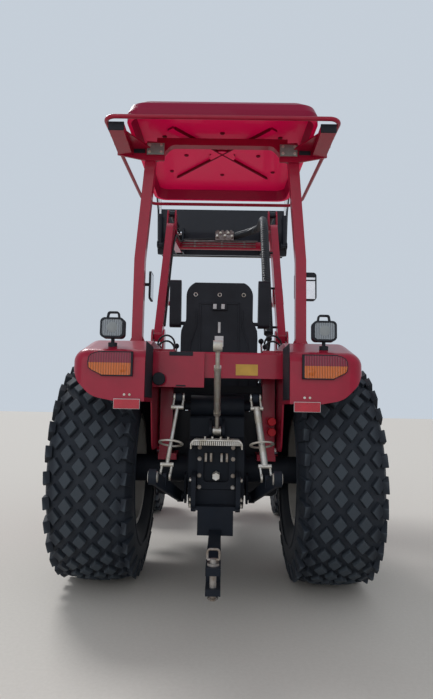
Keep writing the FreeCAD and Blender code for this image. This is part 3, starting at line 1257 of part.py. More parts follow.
def lift_links():
    """Two lift rods from the arms down to the lower links; the right one is adjustable."""
    links = []
    for s in (-1, 1):
        top = (s * (LIFT_ARM_X), LIFT_ARM_END[0], LIFT_ARM_END[1])
        low_x = LINK_PIVOT_X + (LINK_BALL_X - LINK_PIVOT_X) * LIFT_LINK_SHARE
        low = (s * low_x, LINK_CLEVIS[0], LINK_CLEVIS[1])
        radius = 9 if s < 0 else 17
        direction_vector = V(*low) - V(*top)
        start = V(*top) + direction_vector * 0.14
        end = V(*top) + direction_vector * 0.86
        rod = bar((start.x, start.y, start.z), (end.x, end.y, end.z), radius)
        parts = [rod]
        heads = (
            # centre, towards the rod
            (top, start),
            (low, end),
        )
        for centre, inner in heads:
            for side in (-1, 1):
                shift = V(side * 24, 0, 0)
                parts.append(cross_bar(centre[0] + side * 24 - 4, centre[0] + side * 24 + 4, (centre[1], centre[2]), 20))
                strut_start = V(*centre) + shift
                strut_end = inner + shift
                parts.append(bar((strut_start.x, strut_start.y, strut_start.z),
                                 (strut_end.x, strut_end.y, strut_end.z), 6))
            parts.append(cross_bar(inner.x - 32, inner.x + 32, (inner.y, inner.z), 11))
        link = fuse(parts)
        links.append(link.cut(cross_bar(top[0] - 40, top[0] + 40, (top[1], top[2]), 9 + SHAFT_GAP)))
    return group(links)


def top_link():
    """Top link folded up: turnbuckle body, two threaded ends and ball eyes."""
    py, pz = TOP_LINK_PIN
    by, bz = TOP_LINK_BALL
    length = math.hypot(by - py, bz - pz)

    def at(distance):
        share = distance / length
        return (0, py + (by - py) * share, pz + (bz - pz) * share)

    body = bar(at(120), at(length - 130), 17)
    screws = bar(at(17), at(length - 14), 10)
    eyes = [cross_bar(-22, 22, TOP_LINK_PIN, 24), cross_bar(-22, 22, TOP_LINK_BALL, 27)]
    solid = fuse([screws, body] + eyes)
    solid = solid.cut(cross_bar(-40, 40, TOP_LINK_PIN, 12.5 + SHAFT_GAP))
    return solid.cut(cross_bar(-40, 40, TOP_LINK_BALL, 9.7))


def pto_shield():
    """Bent shield over the power take-off shaft."""
    top = 806.0
    path = [(-128, 765, 0), (-128, top, 20), (128, top, 20), (128, 765, 0)]
    solid = sheet("xz", path, 6, -450, CASE_REAR - SEAT_GAP)
    return solid


def pto_shaft():
    """Splined power take-off shaft, plain here, with its groove."""
    y = CASE_REAR
    shaft = bar((0, y + 60, PTO_AXIS_Z), (0, y - 88, PTO_AXIS_Z), PTO_RADIUS)
    groove = bar((0, y - 34, PTO_AXIS_Z), (0, y - 44, PTO_AXIS_Z), PTO_RADIUS + 5)
    neck = bar((0, y - 34, PTO_AXIS_Z), (0, y - 44, PTO_AXIS_Z), PTO_RADIUS - 2.5)
    return fuse([shaft.cut(groove), neck])


def build():
    nodes = {
        "gear_case": gear_case(),
        "engine": engine(),
        "front_frame": front_frame(),
        "front_axle": front_axle(),
        "knuckle_right": knuckle(),
        "knuckle_left": mirrored(knuckle()),
        "steering_rod": steering_rod(),
        "fender_right": fender(),
        "fender_left": mirrored(fender()),
        "dash_cowl": dash_cowl(),
        "floor": floor(),
        "fuel_tank": fuel_tank(),
        "hood": hood(),
        "grille": grille(),
        "headlamps": headlamps(),
        "rear_panel": rear_panel(),
        "seat_frame": seat_frame(),
        "seat_cushions": seat_cushions(),
        "rops_posts": rops_posts(),
        "rops_base": rops_base(),
        "rops_beam": rops_beam(),
        "canopy_frame": canopy_frame(),
        "canopy_roof": canopy_roof(),
        "lens_red": lens_red(),
        "lens_amber": lens_amber(),
        "work_lamps": work_lamps(),
        "lamp_glass": lamp_glass(),
        "mirrors": mirrors(),
        "levers": levers(),
        "steering_wheel": steering_wheel(),
        "loader_masts": loader_masts(),
        "boom_arms": boom_arms(),
        "boom_tube": boom_tube(),
        "boom_valve": boom_valve(),
        "boom_hoses": boom_hoses(),
        "bucket": bucket(),
        "clam": clam(),
        "lower_links": lower_links(),
        "link_pins": link_pins(),
        "hitch_frame": hitch_frame(),
        "drawbar_pin": drawbar_pin(),
        "lift_arms": lift_arms(),
        "lift_links": lift_links(),
        "top_link": top_link(),
        "pto_shield": pto_shield(),
        "pto_shaft": pto_shaft(),
    }
    nodes.update(cylinder_nodes())
    nodes.update(wheel_nodes())
    return nodes


def middle_shift(nodes):
    """Move that puts the origin on the floor below the middle of the whole tractor."""
    whole = FreeCAD.BoundBox()
    for shape in nodes.values():
        whole.add(shape.optimalBoundingBox(False, False))
    return V(-(whole.XMin + whole.XMax) / 2, -(whole.YMin + whole.YMax) / 2, -whole.ZMin)


def main():
    os.makedirs("parts", exist_ok=True)
    nodes = build()
    shift = middle_shift(nodes)
    for name, shape in nodes.items():
        shape.translate(shift)
        shape.exportStep("parts/" + name + ".step")
        print(name, len(shape.Solids), round(shape.Volume / 1e6, 2), shape.isValid())
    return nodes, shift


NODES, SHIFT = main()
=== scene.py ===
# %% [markdown]
# # A compact tractor with a front loader, dressed in Blender
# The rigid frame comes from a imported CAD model. It brings every plate, tube and pin at its real
# size, and each piece already moves with its own body. What is left for Blender is what the eye
# meets first: paint, rubber, glass, the tread blocks of the tyres, padded vinyl and small fittings.

import json
import math

import bmesh
import bpy
from mathutils import Matrix, Vector


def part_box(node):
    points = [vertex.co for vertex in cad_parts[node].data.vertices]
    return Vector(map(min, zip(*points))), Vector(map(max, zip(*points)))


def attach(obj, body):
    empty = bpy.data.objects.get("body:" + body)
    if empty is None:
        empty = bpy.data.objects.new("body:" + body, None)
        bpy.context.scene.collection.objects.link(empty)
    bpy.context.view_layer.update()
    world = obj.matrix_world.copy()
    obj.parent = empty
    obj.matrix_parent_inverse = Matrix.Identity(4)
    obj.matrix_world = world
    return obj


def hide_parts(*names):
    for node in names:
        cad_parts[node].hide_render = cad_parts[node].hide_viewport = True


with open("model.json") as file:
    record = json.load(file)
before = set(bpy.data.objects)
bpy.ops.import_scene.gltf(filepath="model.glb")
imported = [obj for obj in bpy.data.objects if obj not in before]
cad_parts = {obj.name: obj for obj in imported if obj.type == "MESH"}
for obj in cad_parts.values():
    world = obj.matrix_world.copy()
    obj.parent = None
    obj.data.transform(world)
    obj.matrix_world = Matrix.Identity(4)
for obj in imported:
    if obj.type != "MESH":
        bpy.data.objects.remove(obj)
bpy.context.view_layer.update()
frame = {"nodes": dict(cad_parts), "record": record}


# %% [markdown]
# ## Where things are
# Nothing is placed by eye when the frame can say where it is. Two small helpers read a node's
# middle and its size, and the rear axle becomes the landmark that the other places start from.

# %% Landmarks
def middle_of(node):
    low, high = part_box(node)
    return (low + high) / 2


def size_of(node):
    low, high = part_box(node)
    return high - low


def spot(x, y, z):
    """A place in metres: x to the tractor's right, y ahead of the rear axle, z over the floor."""
    return Vector((x, rear_axle.y + y, z))


rear_axle = middle_of("tyre_rear_left")
front_axle = middle_of("tyre_front_left")
print("rear axle y %.3f z %.3f, wheelbase %.3f m" % (rear_axle.y, rear_axle.z, front_axle.y - rear_axle.y))


# %% [markdown]
# ## The camera
# The camera stands about three metres behind the tractor, a metre over the floor, tilted up and
# rolled by a degree as in the photograph. The focal length decides how fast things shrink with
# distance: here the roof and the bucket had to fit above the tyres at once, and one lens length
# did it. The long side of the picture is the sensor's 36 mm.

# %% Camera
FOCAL_PIXELS = 525.0
LONG_SIDE_PIXELS = 699.0
SENSOR_WIDTH = 36.0
CAMERA_BACK = 3.17
CAMERA_SIDE = 0.02
CAMERA_HEIGHT = 0.98
PITCH_UP = 6.25
YAW_LEFT = 0.6
ROLL = 1.05

shift = Matrix.Translation


def turn(degrees, axis):
    return Matrix.Rotation(math.radians(degrees), 4, axis)


camera = bpy.data.objects.new("camera", bpy.data.cameras.new("camera"))
bpy.context.scene.collection.objects.link(camera)
bpy.context.scene.camera = camera
camera.data.sensor_width = SENSOR_WIDTH
camera.data.lens = SENSOR_WIDTH * FOCAL_PIXELS / LONG_SIDE_PIXELS
camera.data.clip_end = 200.0
bpy.context.scene.view_settings.view_transform = "Standard"
stand = shift((CAMERA_SIDE, rear_axle.y - CAMERA_BACK, CAMERA_HEIGHT))
camera.matrix_world = stand @ turn(YAW_LEFT, "Z") @ turn(90 + PITCH_UP, "X") @ turn(ROLL, "Z")
print("lens %.2f mm" % camera.data.lens)


# %% [markdown]
# ## A bench for shader maths
# A material is easier to read as a sum than as a page of node links. `Value` wraps a socket, so
# that `dust * 0.4 + 0.1` adds the Math nodes by itself. `Finish` owns one material, and its one
# method `node` makes any other node: settings first, then the sockets.

# %% Shader bench
class Value:
    """A number that changes over the surface, held by a node's socket."""

    def __init__(self, finish, socket):
        self.finish = finish
        self.socket = socket

    def maths(self, operation, *terms):
        made = self.finish.node("ShaderNodeMath", {"operation": operation}, dict(enumerate(terms)))
        return Value(self.finish, made.outputs[0])

    def __add__(self, other):
        return self.maths("ADD", self, other)

    def __sub__(self, other):
        return self.maths("SUBTRACT", self, other)

    def __rsub__(self, other):
        return self.maths("SUBTRACT", other, self)

    def __mul__(self, other):
        return self.maths("MULTIPLY", self, other)

    __radd__ = __add__
    __rmul__ = __mul__

    def root(self):
        return self.maths("SQRT", self)

    def clamped(self):
        return self.maths("MINIMUM", self.maths("MAXIMUM", self, 0.0), 1.0)

    def above(self, level, softness):
        """0 below a level and 1 over it, with a soft step between."""
        return ((self - level) * (1.0 / softness) + 0.5).clamped()

    def bands(self, spacing):
        """Even bands along a run in metres, as a wave from 0 to 1."""
        phase = self * (2 * math.pi / spacing)
        return phase.maths("SINE", phase) * 0.5 + 0.5


class Finish:
    """One material, built round a Principled shader."""

    def __init__(self, name, colour, roughness, metallic=0.0, **constants):
        self.material = bpy.data.materials.new(name)
        self.material.use_nodes = True
        self.tree = self.material.node_tree
        self.shader = self.tree.nodes["Principled BSDF"]
        self.shader.inputs["Base Color"].default_value = (*colour, 1.0)
        self.shader.inputs["Roughness"].default_value = roughness
        self.shader.inputs["Metallic"].default_value = metallic
        for socket, value in constants.items():
            self.shader.inputs[socket.replace("_", " ")].default_value = value

    def node(self, kind, settings=None, inputs=None):
        made = self.tree.nodes.new(kind)
        for key, value in (settings or {}).items():
            setattr(made, key, value)
        for key, value in (inputs or {}).items():
            self.feed(made.inputs[key], value)
        return made

    def feed(self, socket, value):
        if isinstance(value, Value):
            value = value.socket
        if isinstance(value, bpy.types.NodeSocket):
            self.tree.links.new(value, socket)
        else:
            socket.default_value = value

    def place(self):
        return self.node("ShaderNodeTexCoord").outputs["Object"]

    def stretched(self, scale, turned=(0.0, 0.0, 0.0)):
        mapping = {"Vector": self.place(), "Scale": scale, "Rotation": turned}
        return self.node("ShaderNodeMapping", None, mapping).outputs[0]

    def noise(self, scale, detail, rough=0.55, vector=None):
        made = self.node("ShaderNodeTexNoise", None, {
            "Vector": vector or self.place(), "Scale": scale, "Detail": detail, "Roughness": rough})
        return Value(self, made.outputs["Fac"])

    def cells(self, scale):
        made = self.node("ShaderNodeTexVoronoi", None, {"Vector": self.place(), "Scale": scale})
        return Value(self, made.outputs["Distance"])

    def part(self, vector, axis):
        """One of a vector's three numbers."""
        return Value(self, self.node("ShaderNodeSeparateXYZ", None, {0: vector}).outputs[axis])

    def up(self):
        """How far the surface faces the sky: 1 for straight up, -1 for straight down."""
        return self.part(self.node("ShaderNodeNewGeometry").outputs["Normal"], "Z")

    def along(self, axis):
        """The place along X, Y or Z, in metres."""
        return self.part(self.place(), axis)

    def mixed(self, mask, first, second):
        """A colour between two, by a mask."""
        ends = [(*c, 1.0) if isinstance(c, tuple) else c for c in (first, second)]
        made = self.node("ShaderNodeMix", {"data_type": "RGBA"}, {0: mask, 6: ends[0], 7: ends[1]})
        return made.outputs[2]

    def wear(self, colour, roughness=None):
        self.feed(self.shader.inputs["Base Color"], colour)
        if roughness is not None:
            self.feed(self.shader.inputs["Roughness"], roughness)

    def bump(self, height, depth, strength):
        """Small relief, with its depth in metres."""
        relief = {"Height": height, "Distance": depth, "Strength": strength}
        made = self.node("ShaderNodeBump", None, relief)
        self.feed(self.shader.inputs["Normal"], made.outputs[0])


# %% [markdown]
# ## Paint
# Farm machines are sprayed in one deep, glossy colour. Three things make it look like paint and not
# plastic: a clear coat, a faint waviness of the sprayed film, and dust that has settled on the
# faces that look up. The same recipe serves the red panels, the black loader parts and the dark
# castings, and only the colour, gloss and amount of dust differ.

# %% Painted metal
DUST = (0.16, 0.14, 0.13)


def shaded(colour, share):
    """A darker or a lighter one of the same colour."""
    return tuple(min(1.0, c * share) for c in colour)


def paint(name, colour, roughness, coat, dust, sheen=0.30):
    finish = Finish(name, colour, roughness, Coat_Weight=coat, Coat_Roughness=0.12,
                    Specular_IOR_Level=sheen)
    film = finish.noise(18.0, 2.0)
    fine = finish.noise(420.0, 2.0)
    cloud = finish.noise(6.0, 5.0, 0.65)
    settled = (finish.up().clamped() * 0.75 + 0.25) * cloud.above(0.52, 0.35) * dust
    shade = finish.mixed(film, shaded(colour, 0.80), shaded(colour, 1.12))
    dull = (settled * 0.5 + fine * 0.06 + roughness).clamped()
    finish.wear(finish.mixed(settled.clamped(), shade, DUST), dull)
    finish.bump(film * 0.8 + fine * 0.2, 0.0009, 0.35)
    return finish.material


red_paint = paint("red_paint", (0.31, 0.0025, 0.027), 0.30, 0.26, 0.06, 0.20)
# A darker red for painted shade: the dark lines along the roof liner's ribs, and its plugs.
painted_shade_red = paint("painted_shade_red", (0.16, 0.0015, 0.016), 0.50, 0.0, 0.0, 0.10)
black_paint = paint("black_paint", (0.010, 0.013, 0.021), 0.42, 0.08, 0.09, 0.20)
case_paint = paint("case_paint", (0.009, 0.013, 0.021), 0.52, 0.0, 0.10, 0.14)
rim_paint = paint("rim_paint", (0.50, 0.49, 0.46), 0.42, 0.20, 0.30)
print("paints ready")


# %% [markdown]
# ## The canopy's plastic
# The roof is moulded plastic, and daylight shines through it: from below it is the brightest red on
# the tractor, while its rim looks dull. The normal tells the two apart. Faces that look down get a
# lighter colour and a faint glow: painted light for the daylight that comes through.

# %% Canopy plastic
def painted_glow_roof(name, outside, lit_underside, glow):
    finish = Finish(name, outside, 0.42, Coat_Weight=0.10, Specular_IOR_Level=0.15,
                    Emission_Strength=1.0)
    below = (finish.up() * -1.0).above(0.45, 0.5)
    cloud = finish.noise(5.0, 5.0, 0.6)
    grain = finish.noise(260.0, 3.0)
    # Painted light: faces that look down get this lighter red and a faint glow.
    lit_lining = finish.mixed(cloud, shaded(lit_underside, 0.88), lit_underside)
    dull = (cloud * 0.15 + grain * 0.06 + 0.34).clamped()
    finish.wear(finish.mixed(below, outside, lit_lining), dull)
    shine = finish.mixed(below, (0.0, 0.0, 0.0), glow)
    finish.feed(finish.shader.inputs["Emission Color"], shine)
    finish.bump(grain * 0.6 + cloud * 0.4, 0.0008, 0.4)
    return finish.material


canopy_red = painted_glow_roof("canopy_red", (0.24, 0.0030, 0.035), (0.78, 0.0035, 0.090),
                              (0.085, 0.0004, 0.009))
print("canopy plastic ready")


# %% [markdown]
# ## Rubber, plastic and vinyl
# Tyre rubber is nearly black, but a tractor's tyre never looks it: dry soil stays in the grooves,
# and the faces of the blocks are a paler slate grey than the grooves. Moulded plastic has an even
# grain from the mould, and seat vinyl has a leather-like one, which small Voronoi cells give cheaply.

# %% Rubber and mouldings
# The tops of a tyre's blocks are paler than its grooves, down to this depth.
PALER_TOP_DEPTH = 0.016
PALER_TOP_RUBBER = (0.038, 0.050, 0.064)
SOIL = (0.070, 0.075, 0.082)


def rubber(name, colour, dust, axle=None):
    """Rubber. On a tyre, the tops of its blocks are paler, told by the distance from the axle."""
    finish = Finish(name, colour, 0.78, Specular_IOR_Level=0.28)
    patches = finish.noise(9.0, 6.0, 0.7)
    grit = finish.noise(170.0, 3.0, 0.6)
    soil = (patches.above(0.50, 0.40) * 0.7 + grit * 0.3) * dust
    shade = colour
    if axle:
        ahead = finish.along("Y") - axle.y
        above = finish.along("Z") - axle.z
        reach = (ahead * ahead + above * above).root()
        shade = finish.mixed(reach.above(axle.z - PALER_TOP_DEPTH, 0.008), colour, PALER_TOP_RUBBER)
    finish.wear(finish.mixed(soil.clamped(), shade, SOIL), (soil * 0.25 + 0.66).clamped())
    finish.bump(grit * 0.6 + patches * 0.4, 0.0016, 0.6)
    return finish.material


def moulded(name, colour, roughness, grain, depth, sheen=0.24):
    finish = Finish(name, colour, roughness, Specular_IOR_Level=sheen)
    cells = finish.cells(grain)
    fade = finish.noise(5.0, 4.0)
    pale = tuple(c * 1.7 + 0.004 for c in colour)
    finish.wear(finish.mixed(fade.above(0.55, 0.4), colour, pale), (cells * 0.25 + roughness).clamped())
    finish.bump(cells, depth, 0.5)
    return finish.material


rear_rubber = rubber("rear_rubber", (0.010, 0.015, 0.024), 0.26, rear_axle)
front_rubber = rubber("front_rubber", (0.010, 0.015, 0.024), 0.26, front_axle)
hose_rubber = rubber("hose_rubber", (0.012, 0.012, 0.014), 0.15)
black_plastic = moulded("black_plastic", (0.009, 0.011, 0.016), 0.48, 900.0, 0.0004)
seat_vinyl = moulded("seat_vinyl", (0.011, 0.014, 0.021), 0.42, 420.0, 0.0007)
label_yellow = moulded("label_yellow", (0.42, 0.25, 0.055), 0.50, 200.0, 0.0001)
pale_plastic = moulded("pale_plastic", (0.42, 0.43, 0.44), 0.40, 300.0, 0.0002)
lamp_glow = moulded("lamp_glow", (0.20, 0.22, 0.23), 0.30, 300.0, 0.0002)
red_plastic = moulded("red_plastic", (0.34, 0.006, 0.014), 0.40, 300.0, 0.0002)
reflector_red = moulded("reflector_red", (0.32, 0.006, 0.020), 0.22, 160.0, 0.0008, 0.5)
print("rubber and mouldings ready")


# %% [markdown]
# ## The hoses' spiral wrap
# The loader's hoses run together in a plastic spiral that guards them. The bundle is a smooth tube
# in the CAD, so the spiral is relief: bands across the tube's own run, a little slanted, with painted
# shade darkening the gaps between them. The run climbs along the arm, and a Mapping node turns the
# pattern to that slope.

# %% Wrapped hoses
def wrapped(name, colour, spacing, slope):
    finish = Finish(name, colour, 0.55, Specular_IOR_Level=0.3)
    slanted = finish.stretched((1.0, 1.0, 1.0), (-slope, 0.0, math.radians(20)))
    turns = finish.part(slanted, "Y").bands(spacing)
    grit = finish.noise(120.0, 3.0)
    # Painted shade: the gaps between the spiral's turns are darker.
    shade = finish.mixed(turns.above(0.35, 0.4), shaded(colour, 0.3), colour)
    finish.wear(shade, (grit * 0.2 + 0.42).clamped())
    finish.bump(turns, 0.006, 0.9)
    return finish.material


hose_wrap = wrapped("hose_wrap", (0.020, 0.023, 0.029), 0.026, math.radians(58))
print("hose wrap ready")


# %% [markdown]
# ## Bare and plated metal
# Cylinder rods are hard chrome, so they are smooth and mirror-like. The hitch's screws and pins are
# zinc plated: the plating has a faint yellow cast in blotches, and small dull patches.

# %% Metals
def plated(name, colour, tint, roughness, blotch):
    finish = Finish(name, colour, roughness, 1.0)
    patches = finish.noise(28.0, 5.0, 0.6)
    scratches = finish.noise(60.0, 3.0, 0.6, finish.stretched((1.0, 1.0, 14.0)))
    mask = patches.above(0.5, 0.5) * blotch
    finish.wear(finish.mixed(mask, colour, tint), (scratches * 0.18 + mask * 0.25 + roughness).clamped())
    finish.bump(scratches, 0.0002, 0.3)
    return finish.material


chrome = plated("chrome", (0.72, 0.73, 0.75), (0.55, 0.56, 0.58), 0.08, 0.5)
zinc_steel = plated("zinc_steel", (0.62, 0.61, 0.60), (0.50, 0.44, 0.34), 0.36, 0.9)
grey_plate = plated("grey_plate", (0.30, 0.35, 0.33), (0.22, 0.27, 0.25), 0.45, 0.8)
worn_steel = plated("worn_steel", (0.42, 0.41, 0.40), (0.22, 0.16, 0.11), 0.34, 1.0)
valve_steel = plated("valve_steel", (0.22, 0.20, 0.20), (0.13, 0.08, 0.07), 0.40, 1.0)
mirror_glass = plated("mirror_glass", (0.44, 0.44, 0.46), (0.38, 0.39, 0.41), 0.03, 0.3)
print("metals ready")


# %% [markdown]
# ## Lenses
# A lamp's lens is coloured plastic with upright ribs moulded on its inside. A wave across X gives
# them in colour and in relief, and a little transmission lets light in without making the lamp
# look hollow.

# %% Lenses
def lens(name, colour, roughness, spacing, transmission):
    finish = Finish(name, colour, roughness, Transmission_Weight=transmission, IOR=1.49,
                    Coat_Weight=0.15, Coat_Roughness=0.05, Specular_IOR_Level=0.35)
    optics = finish.along("X").bands(spacing)
    haze = finish.noise(30.0, 4.0)
    shade = finish.mixed(optics.above(0.35, 0.5), shaded(colour, 0.55), colour)
    finish.wear(shade, (haze * 0.2 + roughness).clamped())
    finish.bump(optics, 0.002, 0.6)
    return finish.material


red_lens = lens("red_lens", (0.24, 0.006, 0.035), 0.10, 0.012, 0.10)
amber_lens = lens("amber_lens", (0.62, 0.14, 0.015), 0.10, 0.012, 0.10)
clear_lens = lens("clear_lens", (0.30, 0.34, 0.38), 0.10, 0.011, 0.20)

FINISHES = {
    # material slot of the record: finish
    "red_paint": red_paint,
    "black_paint": black_paint,
    "case_paint": case_paint,
    "rim_paint": rim_paint,
    "black_plastic": black_plastic,
    "seat_vinyl": seat_vinyl,
    "chrome": chrome,
    "zinc_steel": zinc_steel,
    "tyre": rear_rubber,
    "rubber": hose_rubber,
    "lens_red": red_lens,
    "lens_amber": amber_lens,
    "clear_lens": clear_lens,
}
print("lenses ready,", len(FINISHES), "slots")


# %% [markdown]
# ## Dressing the CAD nodes
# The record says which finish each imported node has. Every CAD node keeps its mesh, and only its
# material slot is filled. Finishes that only new pieces have count as the slot that is nearest.

# %% Finishes on the frame
FINISH_OF_NODE = {
    "boom_hoses": hose_wrap,
    "boom_valve": valve_steel,
    "canopy_roof": canopy_red,
    "drawbar_pin": worn_steel,
}
NEAREST_SLOT = {
    "red_paint": (painted_shade_red, label_yellow, red_plastic),
    "black_plastic": (pale_plastic,),
    "chrome": (mirror_glass,),
    "zinc_steel": (grey_plate, worn_steel, valve_steel),
    "tyre": (front_rubber,),
    "lens_red": (reflector_red,),
    "clear_lens": (lamp_glow,),
}
slot_of = {part["node"]: part["material_slot"] for part in frame["record"]["subparts"]}
for name, node in frame["nodes"].items():
    node.data.materials.clear()
    node.data.materials.append(FINISH_OF_NODE.get(name) or FINISHES[slot_of[name]])
slot_of_finish = {material.name: slot for slot, material in FINISHES.items()}
for slot, materials in NEAREST_SLOT.items():
    slot_of_finish.update((material.name, slot) for material in materials)
print("dressed", len(frame["nodes"]), "nodes, finishes with a slot", len(slot_of_finish))


# %% [markdown]
# ## Shaping new pieces
# Every new piece starts in a bmesh and ends in an object at the origin, with its place in its mesh.
# `finished` does the last steps the same way for all: doubles merged, normals turned outwards, the
# material, smooth faces with sharp edges kept, and the body that it moves with.

# %% Finishing a piece
DOUBLES = 0.00001
SHARP_EDGE = math.radians(38)
BEVELLED_EDGE = math.radians(35)


def object_of(bm, name):
    """Ends a bmesh as an object in the scene."""
    mesh = bpy.data.meshes.new(name)
    bm.to_mesh(mesh)
    bm.free()
    made = bpy.data.objects.new(name, mesh)
    bpy.context.scene.collection.objects.link(made)
    return made


def finished(bm, name, material, body="chassis", bevel=0.0):
    """Ends a bmesh as a piece of the tractor that moves with a body."""
    bmesh.ops.remove_doubles(bm, verts=bm.verts, dist=DOUBLES)
    bmesh.ops.recalc_face_normals(bm, faces=bm.faces)
    piece = object_of(bm, name)
    piece.data.materials.append(material)
    if bevel:
        edge = piece.modifiers.new("edge", "BEVEL")
        edge.width = bevel
        edge.segments = 2
        edge.limit_method = "ANGLE"
        edge.angle_limit = BEVELLED_EDGE
    piece.data.shade_smooth()
    piece.data.set_sharp_from_angle(angle=SHARP_EDGE)
    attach(piece, body)
    print("made", name, "of", len(piece.data.polygons), "faces")
    return piece


# %% [markdown]
# ## Turned shapes
# A rim, a tyre's carcass and a hub are all one section turned about the axle. A few vertices make
# the section, and one spin makes the ring.

# %% Turning a section
def turned(bm, section, centre, steps):
    """Spins a closed section of (x, radius) points about the X axis through a centre."""
    points = [bm.verts.new((centre.x + x, centre.y, centre.z + radius)) for x, radius in section]
    edges = [bm.edges.new(pair) for pair in zip(points, points[1:] + points[:1])]
    bmesh.ops.spin(bm, geom=points + edges, cent=centre, axis=(1, 0, 0), angle=2 * math.pi,
                   steps=steps, use_merge=True)


# %% [markdown]
# ## Tyres with a block tread
# The tread is a lattice of blocks turned to the diagonal: square ones in the middle, longer ones
# that fold over the shoulders. One pitch of the pattern is modelled, a block for each column, and
# `spin` with duplicates repeats it round the tyre. Each column is shifted by half a pitch from the
# next, which leaves open diagonal grooves for mud to leave by.

# %% Tyres
HANDS = ("left", "right")
LUG = 0.025
LUG_ROOT = 0.012
SLANT = 45
CROWN = 2.4
BLOCK_SHARE = 0.86
BLOCK_STRETCH = 1.30
BLOCK_TOP = 0.88
TYRES = (
    # axle, pitches round the tyre, block columns, bead radius, rubber
    ("rear", 30, 6, 0.3048, rear_rubber),
    ("front", 24, 4, 0.20955, front_rubber),
)


def tyre_piece(suffix, pitches, columns, bead, rubber_of_it):
    centre = middle_of("tyre_" + suffix)
    tip = centre.z
    half = size_of("tyre_" + suffix).x / 2
    side = -1 if "left" in suffix else 1
    wall = tip - bead
    drop = 0.09 * wall
    tread_half = 0.82 * half
    step = 2 * tread_half / columns
    half_pitch = 180 / pitches
    bm = bmesh.new()
    for index in range(columns):
        share = (index + 0.5) / columns * 2 - 1
        fall = drop * abs(share) ** CROWN
        steepness = drop * CROWN * abs(share) ** (CROWN - 1) / tread_half
        lean = math.atan(math.copysign(steepness, share))
        place = (
            shift(centre)
            @ turn(half_pitch * (index % 2), "X")
            @ shift((share * tread_half, 0, tip - fall - LUG / 2 - LUG_ROOT / 2))
            @ Matrix.Rotation(lean, 4, "Y")
            @ Matrix.Diagonal((1.0, BLOCK_STRETCH, 1.0, 1.0))
            @ turn(SLANT, "Z")
            @ Matrix.Diagonal((step * BLOCK_SHARE, step * BLOCK_SHARE, LUG + LUG_ROOT, 1.0))
        )
        made = bmesh.ops.create_cube(bm, size=1.0, matrix=place)
        top = sorted(made["verts"], key=lambda v: (v.co - centre).yz.length)[-4:]
        middle = sum((v.co for v in top), Vector()) / 4
        bmesh.ops.scale(bm, vec=(BLOCK_TOP, BLOCK_TOP, BLOCK_TOP), space=shift(-middle), verts=top)
    for edge in (-1, 1):
        place = (
            shift(centre)
            @ turn(half_pitch * ((columns - 1) % 2 if edge > 0 else 1), "X")
            @ shift((edge * half * 0.945, 0, tip - drop - 0.105 * wall))
            @ turn(edge * 60, "Y")
            @ turn(edge * side * 12, "Z")
            @ Matrix.Diagonal((0.30 * wall, step, LUG + 0.010, 1.0))
        )
        bmesh.ops.create_cube(bm, size=1.0, matrix=place)
    bmesh.ops.spin(bm, geom=bm.verts[:] + bm.edges[:] + bm.faces[:], cent=centre, axis=(1, 0, 0),
                   angle=2 * math.pi * (pitches - 1) / pitches, steps=pitches - 1, use_duplicate=True)
    low = tip - LUG
    section = [(0.70 * half, bead), (0.74 * half, bead + 0.06 * wall), (0.90 * half, bead + 0.20 * wall),
               (0.97 * half, bead + 0.42 * wall), (0.98 * half, bead + 0.58 * wall),
               (0.95 * half, low - drop - 0.12 * wall), (0.86 * half, low - drop),
               (0.62 * half, low - 0.36 * drop), (0.32 * half, low - 0.07 * drop), (0.0, low)]
    section += [(-x, radius) for x, radius in section[-2::-1]]
    turned(bm, section, centre, 96)
    for edge in (-1, 1):
        near = edge * 0.965 * half
        far = edge * (0.965 * half + 0.006)
        rib = [(near, bead + 0.36 * wall), (far, bead + 0.38 * wall),
               (far, bead + 0.41 * wall), (near, bead + 0.43 * wall)]
        turned(bm, rib, centre, 96)
    for vert in bm.verts:
        out = vert.co - centre
        inwards = min(1.0, tip / out.yz.length)
        across = max(-half, min(half, out.x))
        vert.co = centre + Vector((across, out.y * inwards, out.z * inwards))
    piece = finished(bm, "tread_" + suffix, rubber_of_it, "wheel_" + suffix, bevel=0.003)
    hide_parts("tyre_" + suffix)


for axle, *measures in TYRES:
    for hand in HANDS:
        tyre_piece(axle + "_" + hand, *measures)


# %% [markdown]
# ## Small solids
# Most fittings are blocks, bars and hexagons. These helpers put one into a bmesh from plain
# places, so that a bracket with its bolts is a few lines. `create_cone` makes bars, discs and hex
# heads, because a cone with equal ends is a cylinder and one with six sides is a nut.

# %% Blocks, bars and bolts
RING_STEPS = 32


def block(bm, x, y, z, around=None):
    """A box between pairs of limits, turned by a matrix if one is given."""
    limits = (x, y, z)
    middle = shift(spot(*(sum(pair) / 2 for pair in limits)))
    size = Matrix.Diagonal((*(abs(high - low) for low, high in limits), 1.0))
    bmesh.ops.create_cube(bm, size=1.0, matrix=(around or Matrix()) @ middle @ size)


def about(place, degrees, axis):
    """A turn about an axis through a place."""
    return shift(place) @ turn(degrees, axis) @ shift(-place)


def upright(direction):
    """The turn that lays the Z axis along a direction."""
    return direction.to_track_quat("Z", "Y").to_matrix().to_4x4()


def rod(bm, start, end, radius, sides=20, tip_radius=None):
    """A round bar between two places."""
    run = end - start
    bmesh.ops.create_cone(bm, cap_ends=True, cap_tris=False, segments=sides, radius1=radius,
                          radius2=radius if tip_radius is None else tip_radius, depth=run.length,
                          matrix=shift((start + end) / 2) @ upright(run))


def bolt(bm, seat, outward, across=0.019, height=0.009):
    """A hex head on a washer, standing on a face."""
    outward = Vector(outward).normalized()
    rod(bm, seat, seat + outward * 0.002, across * 0.72, 16)
    rod(bm, seat + outward * 0.002, seat + outward * height, across / 2 / math.cos(math.pi / 6), 6)


